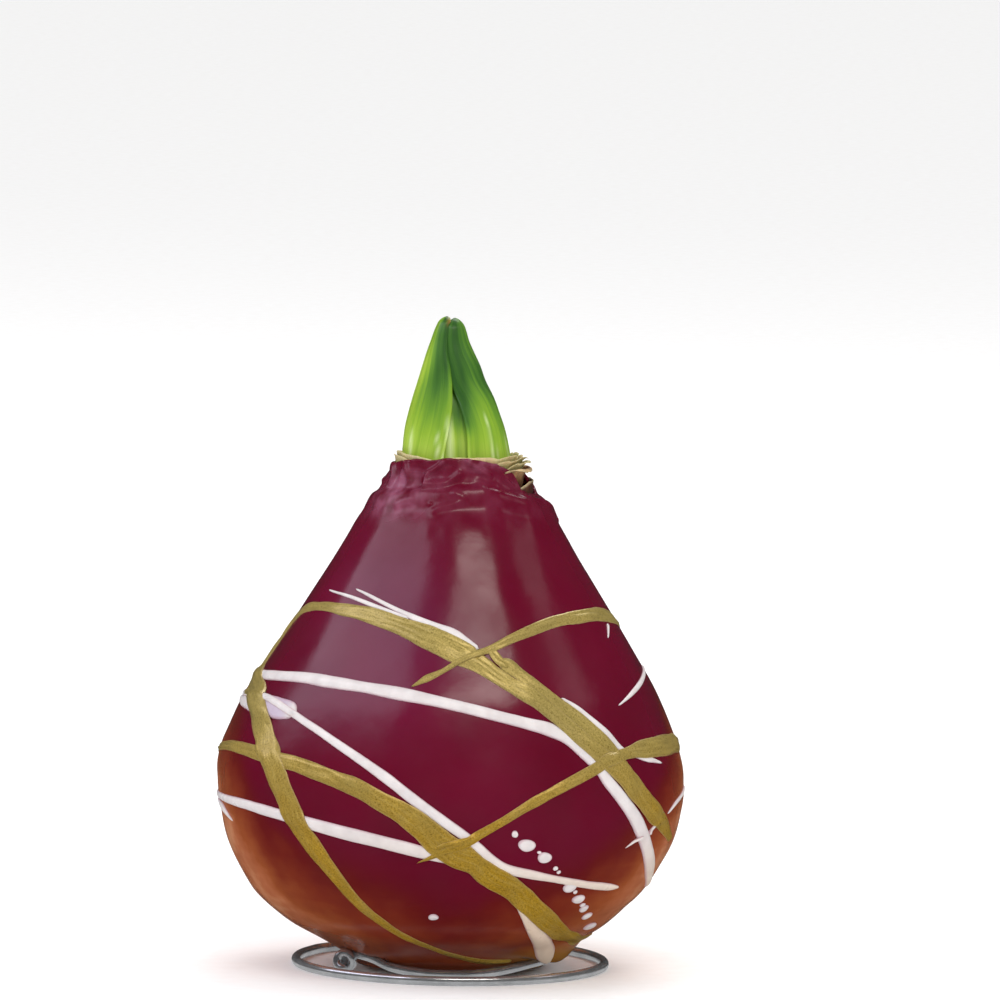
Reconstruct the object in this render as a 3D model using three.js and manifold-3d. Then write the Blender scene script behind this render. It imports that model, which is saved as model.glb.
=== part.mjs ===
// A waxed amaryllis bulb in sprout, sitting in a bent wire stand. Millimetres, +Z up.
// The origin is on the ground at the centre of the stand's outer ring, and the front faces -Y.
// Azimuths are in degrees from the front, positive towards +X.
import * as THREE from "three";
import { mergeVertices } from "three/addons/utils/BufferGeometryUtils.js";
import Module from "manifold-3d";

const wasm = await Module();
wasm.setup();

const { degToRad, radToDeg, smoothstep, lerp } = THREE.MathUtils;

// Driving dimensions
const gap = 0.3; // clearance between pieces that touch
const coatThickness = 1.8; // wax over the bulb
const baseRadius = 20.5; // flat basal plate
const baseHeight = 0.9; // underside of the waxed basal plate
const bulbTop = 99; // the bulb's shoulder inside the neck, where leaves and scales rise
const depthFactor = 0.97; // front to back over side to side
const wireRadius = 1;
const wireSides = 8;
const outerRingRadius = 33.3; // to the wire's centre
const innerTurnRadius = 22.6;
const sproutBase = bulbTop + gap;
const leafThickness = 2.2;
const aroundSteps = 36; // facets around the bulb and its coat
const profileSteps = 20; // facets from the basal plate to the neck
const drizzleStep = 4; // length of one facet along a drizzle

// Half width and height of the waxed bulb, from the basal plate to the neck
const skinOutline = [
  [baseRadius, baseHeight], [22.8, 3], [27.8, 6.3], [34.5, 9.9], [40.2, 14.4], [43.6, 18.6], [48.2, 27.5], [50, 36],
  [50.2, 40.3], [49.9, 44.7], [47.9, 51.2], [44, 59.9], [38.7, 68.6], [32, 79.5], [26.6, 88.2],
  [21.6, 96.9], [18.6, 101.2], [16.3, 105.6], [15.4, 107.7],
];

// Height, half width and sideways place of the sprout's outside
const sproutOutline = [
  [sproutBase, 11.5, -0.8], [109, 11.5, -0.8], [116.4, 10.7, -1.3], [123.4, 8.5, -1.7], [130.3, 6, -2.2],
  [135.5, 4.2, -2.4], [139.3, 2.7, -2.4], [140.8, 1.5, -2.4],
];

const materials = {
  wax: finish(0x5d0d24, 0.32, 0),
  bulb: finish(0xb98f5f, 0.7, 0),
  gold: finish(0xc2a552, 0.35, 0.8),
  white: finish(0xdcd2cc, 0.45, 0),
  leaf: finish(0x6f9b34, 0.45, 0),
  scale: finish(0xa38a5c, 0.8, 0),
  wire: finish(0x9a9c9e, 0.25, 1),
};

function finish(color, roughness, metalness) {
  return new THREE.MeshStandardMaterial({ color, roughness, metalness });
}

// 1 at the centre, easing to 0 at a distance of reach
function hump(value, centre, reach) {
  const distance = Math.min(Math.abs(value - centre) / reach, 1);
  return (1 + Math.cos(Math.PI * distance)) / 2;
}

function polar(radius, azimuth, height) {
  const angle = degToRad(azimuth);
  return new THREE.Vector3(radius * Math.sin(angle), -radius * Math.cos(angle), height);
}

const undercut = { depth: 2.6, height: 12, reach: 9 }; // low on the right
const lobe = { drop: 3.2, azimuth: 56, span: 28, radius: 27.6, reach: 3.6, fadeFrom: 6, fadeTo: 16 };
const fullness = { amount: 0.6, height: 50, reach: 30 }; // towards the left

// Moves a point of the evenly turned bulb to where the grown one has it: slightly flat from front
// to back, fuller on the left at mid height, undercut low on the right, with one lobe hanging
// from the rim of the basal plate.
function grown(radius, azimuth, height) {
  const rightSide = Math.max(Math.sin(degToRad(azimuth)), 0) ** 2;
  const inward = undercut.depth * hump(height, undercut.height, undercut.reach) * rightSide;
  const lobeFade = 1 - smoothstep(height, lobe.fadeFrom, lobe.fadeTo);
  const drop = lobe.drop * hump(azimuth, lobe.azimuth, lobe.span) * hump(radius, lobe.radius, lobe.reach);
  const point = polar(radius - inward, azimuth, height - drop * lobeFade);
  point.x -= fullness.amount * hump(height, fullness.height, fullness.reach);
  point.y *= depthFactor;
  return point;
}

// Closed solid from a geometry class: every vertex is moved by place, shared vertices are merged,
// collapsed triangles are dropped and the faces are turned outwards.
function closedSolid(geometry, place) {
  const source = geometry.attributes.position;
  const moved = [];
  for (let i = 0; i < source.count; i++) {
    moved.push(...place(new THREE.Vector3().fromBufferAttribute(source, i)).toArray());
  }
  const bare = new THREE.BufferGeometry();
  bare.setAttribute("position", new THREE.Float32BufferAttribute(moved, 3));
  bare.setIndex(geometry.index ? Array.from(geometry.index.array) : [...Array(source.count).keys()]);
  const merged = mergeVertices(bare, 1e-3);
  const kept = [];
  const index = merged.index.array;
  for (let i = 0; i < index.length; i += 3) {
    const [a, b, c] = index.slice(i, i + 3);
    if (a !== b && b !== c && c !== a) kept.push(a, b, c);
  }
  merged.setIndex(signedVolume(merged, kept) < 0 ? kept.reverse() : kept);
  return merged;
}

function signedVolume(geometry, index) {
  const corner = [0, 1, 2].map(() => new THREE.Vector3());
  let volume = 0;
  for (let i = 0; i < index.length; i += 3) {
    corner.forEach((point, k) => point.fromBufferAttribute(geometry.attributes.position, index[i + k]));
    volume += corner[0].dot(corner[1].cross(corner[2])) / 6;
  }
  return volume;
}

function toManifold(geometry) {
  const vertProperties = Float32Array.from(geometry.attributes.position.array);
  const triVerts = Uint32Array.from(geometry.index.array);
  return new wasm.Manifold(new wasm.Mesh({ numProp: 3, vertProperties, triVerts }));
}

function fromManifold(solid) {
  const { vertProperties, triVerts } = solid.getMesh();
  const geometry = new THREE.BufferGeometry();
  geometry.setAttribute("position", new THREE.Float32BufferAttribute(vertProperties, 3));
  geometry.setIndex(Array.from(triVerts));
  return geometry;
}

function named(name, geometry, material) {
  const mesh = new THREE.Mesh(geometry, material);
  mesh.name = name;
  return mesh;
}

// The skin of the waxed bulb as a curve in (radius, height), measured along its length
const skin = new THREE.SplineCurve(skinOutline.map(([radius, height]) => new THREE.Vector2(radius, height)));
skin.arcLengthDivisions = 400;
const skinLength = skin.getLength();

// Point of the skin's curve at a fraction of its length, moved out along the normal by lift
function skinAt(fraction, lift) {
  const inside = THREE.MathUtils.clamp(fraction, 0, 1);
  const point = skin.getPointAt(inside);
  const tangent = skin.getTangentAt(inside);
  return new THREE.Vector2(point.x + tangent.y * lift, point.y - tangent.x * lift);
}

function arcAtHeight(height) {
  let low = 0;
  let high = 1;
  for (let i = 0; i < 24; i++) {
    const middle = (low + high) / 2;
    if (skin.getPointAt(middle).y < height) low = middle;
    else high = middle;
  }
  return low * skinLength;
}

// Point on the grown skin at an azimuth and a length along its curve, raised by lift
function onSkin(azimuth, arc, lift) {
  const point = skinAt(arc / skinLength, lift);
  return grown(point.x, azimuth, point.y);
}

// Solid of revolution from (radius, height) points, then moved to the grown shape
function turned(points) {
  return closedSolid(new THREE.LatheGeometry(points, aroundSteps), (vertex) => {
    const azimuth = radToDeg(Math.atan2(vertex.x, vertex.z));
    return grown(Math.hypot(vertex.x, vertex.z), azimuth, vertex.y);
  });
}

function skinPoints(lift) {
  return Array.from({ length: profileSteps + 1 }, (_, i) => skinAt(i / profileSteps, lift));
}

const rim = { height: 110.6, outerRadius: 14.6, innerRadius: 13.9 }; // top edge of the wax at the neck
const brokenEdge = { slope: 49, x: 14.5, z: 103.4, size: [30, 60, 12] }; // where the rim is broken away

// The wax: a shell all round the bulb, open at the neck, pressed on the stand's inner turn and
// broken away on the right of the neck, where dry scales show.
function waxCoat() {
  const outside = skinPoints(0);
  const inside = skinPoints(-coatThickness).reverse();
  const top = [new THREE.Vector2(rim.outerRadius, rim.height), new THREE.Vector2(rim.innerRadius, rim.height)];
  const underside = new THREE.Vector2(0, baseHeight);
  const floorOfHollow = new THREE.Vector2(0, baseHeight + coatThickness);
  const shell = turned([underside, ...outside, ...top, ...inside, floorOfHollow]);
  const groove = toManifold(wire(wireRadius + gap));
  const { slope, x, z, size } = brokenEdge;
  const block = toManifold(closedSolid(new THREE.BoxGeometry(...size), (vertex) => {
    vertex.z += size[2] / 2;
    return vertex.applyAxisAngle(new THREE.Vector3(0, 1, 0), degToRad(slope)).add(new THREE.Vector3(x, 0, z));
  }));
  return fromManifold(toManifold(shell).subtract(groove).subtract(block));
}

// The bulb inside the wax, cut level at its shoulder, where the leaves and neck scales rise
function bulb() {
  const inset = coatThickness + gap;
  const side = skinPoints(-inset);
  const above = side.findIndex((point) => point.y > bulbTop);
  const [low, high] = [side[above - 1], side[above]];
  const edge = low.clone().lerp(high, (bulbTop - low.y) / (high.y - low.y));
  const bottom = new THREE.Vector2(0, baseHeight + inset);
  return turned([bottom, ...side.slice(0, above), edge, new THREE.Vector2(0, bulbTop)]);
}

// A route whose samples are even in its control points, so close points give close facets
class PointwiseRoute extends THREE.CatmullRomCurve3 {
  getUtoTmapping(u) {
    return u;
  }
}

// Stretches of the stand in degrees from the front, running down from one end to the other
const groundTurn = { from: 175, to: -130, step: 10 };
const climb = { from: -146, to: -210, step: 16, starts: 134, ends: 218, rise: 1.9 };
const innerTurn = { from: -226, to: -394, step: 12, clear: 0.05, rise: 1.85, flat: 8, full: 62 };
const curlEntry = [[innerTurnRadius, -406, 3.2], [23.4, -416, 3.8]];
const curl = { centre: [-22.6, -10.6, 2.8], across: [-0.86, 0.51, 0], axis: [-0.51, -0.86, 0], radius: 1.6, pitch: 2.4,
  degrees: 540, step: 30 };

// Stand: from the free end behind the bulb once round on the ground, in and up to the inner turn
// that hugs the basal plate, back to the front left and into a small rolled curl.
function wireRoute() {
  const points = [];
  for (let azimuth = groundTurn.from; azimuth >= groundTurn.to; azimuth -= groundTurn.step) {
    points.push(polar(outerRingRadius, azimuth, wireRadius));
  }
  for (let azimuth = climb.from; azimuth >= climb.to; azimuth -= climb.step) {
    const ease = smoothstep(-azimuth, climb.starts, climb.ends);
    points.push(polar(lerp(outerRingRadius, innerTurnRadius, ease), azimuth, wireRadius + climb.rise * ease));
  }
  for (let azimuth = innerTurn.from; azimuth >= innerTurn.to; azimuth -= innerTurn.step) {
    const fromFront = Math.abs(azimuth + 360);
    const lift = innerTurn.clear + innerTurn.rise * smoothstep(fromFront, innerTurn.flat, innerTurn.full);
    points.push(polar(innerTurnRadius, azimuth, wireRadius + lift));
  }
  return [...points, ...curlEntry.map((place) => polar(...place)), ...curlPoints()];
}

// The curl: a helix of one and a half turns about a level axis, starting from its top
function curlPoints() {
  const across = new THREE.Vector3(...curl.across);
  const axis = new THREE.Vector3(...curl.axis);
  const points = [];
  for (let angle = 0; angle <= curl.degrees; angle += curl.step) {
    const turn = degToRad(angle);
    const point = new THREE.Vector3(...curl.centre).addScaledVector(across, curl.radius * Math.sin(turn));
    point.addScaledVector(axis, (curl.pitch * angle) / 360);
    point.z += curl.radius * Math.cos(turn);
    points.push(point);
  }
  return points;
}

// Tube along the wire's route, one of its flats facing down on level stretches
function wire(radius) {
  const points = wireRoute();
  const section = new THREE.Shape();
  const cornerRadius = radius / Math.cos(Math.PI / wireSides);
  for (let corner = 0; corner < wireSides; corner++) {
    const angle = (corner + 0.5) * ((2 * Math.PI) / wireSides);
    const [x, y] = [cornerRadius * Math.cos(angle), cornerRadius * Math.sin(angle)];
    if (corner === 0) section.moveTo(x, y);
    else section.lineTo(x, y);
  }
  section.closePath();
  const extrudePath = new PointwiseRoute(points);
  const tube = new THREE.ExtrudeGeometry(section, { steps: points.length - 1, extrudePath });
  return closedSolid(tube, (vertex) => vertex);
}

// Outside of the sprout at a height: centre, half width and half depth
const sproutCurve = new THREE.CatmullRomCurve3(sproutOutline.map((row) => new THREE.Vector3(...row)));
const flatness = { low: 0.82, high: 0.95, from: 112, to: 138 }; // depth over width, low down and at the tip
function sproutAt(fraction) {
  const { x: height, y: halfWidth, z: centre } = sproutCurve.getPointAt(fraction);
  const roundness = lerp(flatness.low, flatness.high, smoothstep(height, flatness.from, flatness.to));
  return { height, halfWidth, halfDepth: halfWidth * roundness, centre };
}

const leafEdge = 0.55; // thickness at a leaf's edge over that at its middle
const thickestShare = 0.42; // of the sprout's half depth, near the tip
const leavesMeet = { from: 112, to: 128 }; // heights between which the front edges close

// One channelled leaf that wraps half of the sprout, from azimuth start down to azimuth end.
// spread opens its front edge below the tip, where the inner leaf shows.
function outerLeaf(start, end, spread, topFraction) {
  const blade = new THREE.BoxGeometry(1, 1, 1, 10, 1, 10);
  return closedSolid(blade, (vertex) => {
    const around = vertex.x + 0.5;
    const outside = vertex.y > 0;
    const fraction = (vertex.z + 0.5) * topFraction;
    const { height, halfWidth, halfDepth, centre } = sproutAt(fraction);
    const opening = spread * (1 - smoothstep(height, leavesMeet.from, leavesMeet.to));
    const azimuth = degToRad(lerp(start + Math.min(opening, 0), end + Math.max(opening, 0), around));
    const middle = Math.sin(Math.PI * around);
    const thickness = Math.min(leafThickness, thickestShare * halfDepth) * lerp(leafEdge, 1, middle);
    const inset = outside ? 0 : thickness;
    const x = centre + (halfWidth - inset) * Math.sin(azimuth);
    return new THREE.Vector3(x, -(halfDepth - inset) * Math.cos(azimuth), height);
  });
}

// The young leaf folded inside the outer pair
function innerLeaf() {
  const core = new THREE.CylinderGeometry(1, 1, 1, 14, 6);
  const topFraction = 0.72;
  const inset = leafThickness + 2 * gap;
  return closedSolid(core, (vertex) => {
    const { height, halfWidth, halfDepth, centre } = sproutAt((vertex.y + 0.5) * topFraction);
    const x = centre + vertex.x * (halfWidth - inset);
    return new THREE.Vector3(x, -vertex.z * (halfDepth - inset), height);
  });
}

// A dry scale at the neck: a thin curved plate that stands on the bulb's shoulder. Its top edge
// falls away by droop towards both sides.
function neckScale({ from, to, radius, thickness, top, flare, droop }) {
  const plate = new THREE.BoxGeometry(1, 1, 1, 8, 1, 3);
  return closedSolid(plate, (vertex) => {
    const azimuth = lerp(from, to, vertex.x + 0.5);
    const up = vertex.z + 0.5;
    const edgeTop = top - droop * (2 * vertex.x) ** 2;
    const across = radius + flare * up ** 2 + (vertex.y > 0 ? thickness : 0);
    return polar(across, azimuth, lerp(sproutBase, edgeTop, up));
  });
}

const neckScales = {
  neck_scale_left: { from: -112, to: -22, radius: 12.75, thickness: 0.55, top: 112.4, flare: 0, droop: 1.9 },
  neck_scale_front: { from: -16, to: 46, radius: 12.5, thickness: 0.6, top: 111.5, flare: 0.2, droop: 0.3 },
  neck_scale_right: { from: 52, to: 128, radius: 12.1, thickness: 0.8, top: 111.8, flare: 0.3, droop: 1.2 },
  neck_scale_right_fold: { from: 69, to: 114, radius: 13.3, thickness: 0.9, top: 109.2, flare: 1, droop: 1.9 },
  neck_scale_back: { from: 134, to: 242, radius: 12.6, thickness: 0.6, top: 111.6, flare: 0, droop: 1.2 },
};

// Drizzles, each a route of [azimuth, height, width] over the skin. White was poured before gold,
// and each drizzle bridges those listed before it.
const whiteDrizzles = {
  white_drizzle_low: [
    [-172, 17, 1], [-150, 24, 1.6], [-125, 32, 1.4], [-100, 36, 1.2], [-82, 37, 0.9], [-63, 37.5, 1.1],
    [-46, 36, 1.7], [-27, 33.5, 2.6], [-11, 31.5, 2.6], [-3, 29.5, 1.7], [1, 28, 1.3],
  ],
  white_drizzle_middle: [
    [-250, 25, 1], [-230, 33, 1.8], [-205, 38, 1.6], [-180, 40, 2], [-155, 44, 1.8], [-130, 52, 1.4],
    [-110, 58, 1.4], [-92, 59, 1.5], [-79, 58, 1.9], [-65, 58.5, 3], [-55, 58.5, 4.5], [-49, 57.5, 3],
    [-44, 56.5, 1.3], [-25, 50.5, 1.5], [-9, 41.5, 1.9], [4, 34, 1.9], [10, 29, 2.1], [21, 26, 2.1],
    [39, 23, 1.9], [52, 21, 0.9],
  ],
  white_drizzle_high: [
    [-216, 62, 1], [-200, 70, 1.8], [-180, 73, 2.2], [-160, 70, 1.8], [-135, 64, 1.4], [-110, 61, 1.2],
    [-93, 62.5, 1.1], [-78, 63.5, 1.3], [-53, 65, 1.7], [-26, 64.5, 2.1], [-5, 62.5, 2.3], [14, 59, 2.6],
    [27, 56, 2.1], [36, 51, 1.9], [43, 45, 2.3], [54, 36.5, 2.6], [64, 28, 2.3], [71, 23.5, 2.3],
    [79, 19.5, 1.3],
  ],
  white_tail_upper: [[-47, 84, 0.5], [-37, 83, 0.9], [-22, 80.8, 1.1], [-8, 78.4, 1.9], [-2, 77.2, 2.4], [3, 76, 1.4]],
  white_tail_lower: [[-65, 83, 0.5], [-48, 82, 0.9], [-34, 80.9, 0.9]],
  white_run_base: [[19, 18, 1.1], [22, 15.5, 1.9], [28, 12, 2.8], [35, 9, 3.6], [48, 6.2, 2.8]],
  white_stroke_1: [[92, 65.5, 0.6], [76, 64, 1.1], [65, 62, 1.1], [54, 60, 0.6]],
  white_stroke_2: [[72, 75.2, 0.8], [66, 73.6, 0.6]],
  white_stroke_3: [[89, 40, 0.6], [75, 38, 0.9], [69, 36, 0.6]],
  white_stroke_4: [[63, 34.6, 0.6], [60, 32.8, 0.6]],
  white_stroke_5: [[50, 31.5, 0.7], [46, 30, 0.6]],
  white_stroke_6: [[-80, 35, 0.5], [-71, 33, 0.6]],
};

const goldDrizzles = {
  gold_drizzle_middle: [
    [-150, 27, 1.2], [-130, 36, 1.6], [-108, 43, 1.4], [-91, 46.5, 1.3], [-77, 48.5, 1.7], [-60, 49, 2.1],
    [-40, 48, 2.6], [-22, 44.5, 3.4], [-11, 40.5, 4.3], [-2, 33.5, 5.1], [6, 28, 6], [16, 22.5, 5.1],
    [29, 16, 5.1], [40, 11.5, 4], [56, 8.4, 2.1],
  ],
  gold_drizzle_main: [
    [75, 30.5, 2.1], [63, 36, 3.2], [54, 42, 3.8], [48, 47.5, 4.7], [40, 54, 6], [33, 58, 5.3], [21, 65.5, 4.3],
    [9, 71, 4.3], [-8, 74, 4], [-21, 76.5, 3.4], [-36, 79, 2.8], [-49, 79.5, 1.9], [-62, 79.5, 1.7],
    [-77, 78, 1.7], [-89, 74, 1.8], [-94, 68.5, 2], [-88, 63.5, 2.4], [-78, 61.5, 2.8], [-70, 59.5, 3.4],
    [-62, 56, 4.7], [-55, 51.5, 5], [-47, 45, 4.3], [-40, 34, 3.2], [-33, 24.5, 2.1], [-24, 13.5, 1.7],
    [-17, 10, 1.5], [-5, 6.8, 1.3], [7, 5.2, 1.1], [22, 4.4, 1.1],
  ],
  gold_drizzle_upper: [
    [-12, 65, 0.8], [-7, 66.5, 1.5], [2, 70, 1.1], [13, 72.5, 1.5], [20, 74, 1.7], [29, 76, 2.1], [39, 77.5, 2.3],
    [51, 78, 2.6], [67, 78.5, 3], [93, 75.5, 2.2], [110, 72, 1.8], [130, 65, 2.4], [150, 57, 2.8],
    [168, 50, 2.2], [180, 45, 1],
  ],
  gold_drizzle_cross: [
    [-7, 28, 0.8], [0, 31.5, 1.7], [7, 34.5, 1.9], [20, 41.5, 1.9], [29, 44.5, 1.9], [38, 47.5, 1.7],
    [52, 50, 1.7], [60, 51, 2.3], [73, 51, 3.2], [91, 49.5, 3], [108, 45, 2.4], [128, 38, 2], [148, 29, 2.4],
    [162, 21, 1.2],
  ],
};

const perDegree = 0.7; // millimetres that stand for a degree where a route is unrolled
const crownHeight = { least: 0.45, perHalfWidth: 0.1 };
const bridging = { full: 2.6, none: 5.2 }; // distances to an earlier drizzle
const topWidth = 0.55; // of a drizzle's width

// A drizzle's stations: points at even steps along the route, with half width and crown height
function stations(route) {
  const unrolled = route.map(([azimuth, height, width]) => {
    return new THREE.Vector3(azimuth * perDegree, arcAtHeight(height), width / 2);
  });
  const curve = new THREE.CatmullRomCurve3(unrolled);
  const count = Math.max(2, Math.round(curve.getLength() / drizzleStep));
  return Array.from({ length: count + 1 }, (_, i) => {
    const { x, y: arc, z: half } = curve.getPointAt(i / count);
    const ahead = curve.getTangentAt(i / count);
    const azimuth = x / perDegree;
    const radius = skinAt(arc / skinLength, 0).x;
    const along = new THREE.Vector2((ahead.x / perDegree) * degToRad(radius), ahead.y).normalize();
    const crown = crownHeight.least + crownHeight.perHalfWidth * half;
    return { azimuth, arc, half, radius, along, crown, point: onSkin(azimuth, arc, 0) };
  });
}

// Height that a station needs to bridge what was poured before it
function bridgeLift(station, poured) {
  let lift = gap;
  for (const other of poured) {
    const clear = station.point.distanceTo(other.point) - station.half - other.half;
    const share = 1 - smoothstep(clear, bridging.full, bridging.none);
    lift = Math.max(lift, gap + (other.lift + other.crown) * share);
  }
  return lift;
}

// Flat strip with a narrower top, laid along the stations
function drizzle(route, poured) {
  const line = stations(route);
  line.forEach((station) => (station.lift = bridgeLift(station, poured)));
  poured.push(...line);
  const steps = line.length - 1;
  return closedSolid(new THREE.BoxGeometry(1, 1, 1, steps, 1, 1), (vertex) => {
    const { azimuth, arc, half, radius, along, crown, lift } = line[Math.round((vertex.x + 0.5) * steps)];
    const top = vertex.z > 0;
    const sideways = 2 * vertex.y * half * (top ? topWidth : 1);
    const turn = radToDeg((-along.y * sideways) / radius);
    return onSkin(azimuth + turn, arc + along.x * sideways, lift + (top ? crown : 0));
  });
}

// Splashed drops of white: azimuth, height, half width and half height of each
const drops = [
  [16, 34.5, 0.8, 0.8], [20, 32, 1.8, 1.3], [25, 29.3, 1.3, 1], [32, 21, 1.4, 1], [39, 19, 1.4, 1.1],
  [43, 16.3, 1, 0.9], [48, 13.9, 0.9, 1], [61, 11.5, 1.2, 1.1], [-5, 17.5, 1.1, 0.9], [112, 56, 1.2, 1],
  [117, 53, 0.8, 0.8], [196, 60, 1.4, 1.1], [201, 56, 0.9, 0.9], [-118, 22, 1.2, 1],
];

const domeOutline = [[0, 0], [1, 0], [0.75, 0.65], [0, 1]];
const domeHeight = 0.7;

// Low dome on the skin
function drop(azimuth, height, halfWidth, halfHeight) {
  const dome = domeOutline.map(([x, y]) => new THREE.Vector2(x, y));
  const arc = arcAtHeight(height);
  const radius = skinAt(arc / skinLength, 0).x;
  return closedSolid(new THREE.LatheGeometry(dome, 8), (vertex) => {
    const turn = radToDeg((vertex.x * halfWidth) / radius);
    return onSkin(azimuth + turn, arc + vertex.z * halfHeight, gap + vertex.y * domeHeight);
  });
}

const part = new THREE.Group();
part.add(named("wire_stand", wire(wireRadius), materials.wire));
part.add(named("wax_coat", waxCoat(), materials.wax));
part.add(named("bulb", bulb(), materials.bulb));
part.add(named("left_leaf", outerLeaf(-3, -177, -9, 1), materials.leaf));
part.add(named("right_leaf", outerLeaf(177, 3, 14, 0.985), materials.leaf));
part.add(named("inner_leaf", innerLeaf(), materials.leaf));
for (const [name, scale] of Object.entries(neckScales)) {
  part.add(named(name, neckScale(scale), materials.scale));
}
const poured = [];
for (const [name, route] of Object.entries(whiteDrizzles)) {
  part.add(named(name, drizzle(route, poured), materials.white));
}
for (const [name, route] of Object.entries(goldDrizzles)) {
  part.add(named(name, drizzle(route, poured), materials.gold));
}
drops.forEach((place, i) => part.add(named(`white_drop_${i + 1}`, drop(...place), materials.white)));

export default part;
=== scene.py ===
import bpy
import numpy as np
from mathutils import Matrix


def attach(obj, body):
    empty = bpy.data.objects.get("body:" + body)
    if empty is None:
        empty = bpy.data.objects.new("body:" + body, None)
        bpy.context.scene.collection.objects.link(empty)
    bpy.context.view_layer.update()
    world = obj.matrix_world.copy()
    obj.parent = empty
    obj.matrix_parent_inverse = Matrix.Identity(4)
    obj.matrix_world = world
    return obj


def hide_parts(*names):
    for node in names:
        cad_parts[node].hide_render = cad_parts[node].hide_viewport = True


# A waxed amaryllis bulb in sprout, sitting in a bent wire stand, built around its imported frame.
# Shapes are worked out in millimetres and become metres when a mesh is made.
# Azimuths are in degrees from the front (-Y), positive towards +X.
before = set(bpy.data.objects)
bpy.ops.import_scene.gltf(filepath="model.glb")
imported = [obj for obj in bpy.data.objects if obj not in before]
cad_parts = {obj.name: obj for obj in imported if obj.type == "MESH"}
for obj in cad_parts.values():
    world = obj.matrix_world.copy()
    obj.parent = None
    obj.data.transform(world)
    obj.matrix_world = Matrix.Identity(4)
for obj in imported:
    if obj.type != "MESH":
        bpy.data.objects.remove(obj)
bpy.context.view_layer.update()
bpy.context.scene.view_settings.view_transform = "Standard"
metresPerMillimetre = 0.001
pieces = {}


# 0 below low, 1 above high and 3t^2 - 2t^3 between, with t the share of the way
def ease(value, low, high):
    t = np.clip((value - low) / (high - low), 0, 1)
    return t * t * (3 - 2 * t)


# 1 at the centre, falling as half a cosine wave to 0 at reach
def hump(value, centre, reach):
    return (1 + np.cos(np.pi * np.minimum(np.abs(value - centre) / reach, 1))) / 2


# e to the power of minus the square of the distance from the centre over the width
def bell(value, centre, width):
    return np.exp(-((value - centre) / width) ** 2)


# Eased in from the first value to the second, and out from the third to the fourth
def between(value, start, full, fading, end):
    return ease(value, start, full) * (1 - ease(value, fading, end))


# Smooth random height from -1 to 1: the random corners of a unit lattice, blended by eased
# distance in x and y. x repeats after wrap cells.
def wander(x, y, seed, wrap=64):
    rows = 64
    corners = np.random.default_rng(seed).uniform(-1, 1, (wrap, rows))
    x, y = np.broadcast_arrays(np.asarray(x, float), np.asarray(y, float))
    column, row = np.floor(x).astype(int), np.floor(y).astype(int)
    u, v = ease(x - column, 0, 1), ease(y - row, 0, 1)
    corner = [[corners[(column + i) % wrap, (row + j) % rows] for j in (0, 1)] for i in (0, 1)]
    low = corner[0][0] * (1 - u) + corner[1][0] * u
    high = corner[0][1] * (1 - u) + corner[1][1] * u
    return low * (1 - v) + high * v


# Catmull-Rom curve: between two points, the cubic set by them and their outer neighbours
def through(points, perSpan):
    points = np.asarray(points, float)
    padded = np.vstack([points[:1], points, points[-1:]])
    a, b, c, d = (padded[i:len(padded) - 3 + i, None, :] for i in range(4))
    t = np.linspace(0, 1, perSpan, endpoint=False)[None, :, None]
    squared, cubed = 2 * a - 5 * b + 4 * c - d, 3 * b - a - 3 * c + d
    curve = 0.5 * (2 * b + (c - a) * t + squared * t ** 2 + cubed * t ** 3)
    return np.vstack([curve.reshape(-1, points.shape[1]), points[-1:]])


# Length along a line of points, from 0 at the first
def lengthAlong(line):
    return np.concatenate([[0], np.cumsum(np.linalg.norm(np.diff(line, axis=0), axis=1))])


# The columns of a curve at even steps of the length measured on the line beside it
def evenly(curve, line, step, fewest=8):
    length = lengthAlong(line)
    at = np.linspace(0, length[-1], max(int(round(length[-1] / step)), fewest) + 1)
    return [np.interp(at, length, column) for column in curve.T], at


# An azimuth as seen from another one, from -180 to 180
def turnedFrom(azimuth, middle):
    return (azimuth - middle + 180) % 360 - 180


# Value at an azimuth from (azimuth, value) rows that go once round
def aroundTable(azimuth, rows):
    rows = np.asarray(sorted(rows), float)
    return np.interp(azimuth, rows[:, 0], rows[:, 1], period=360)


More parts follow.
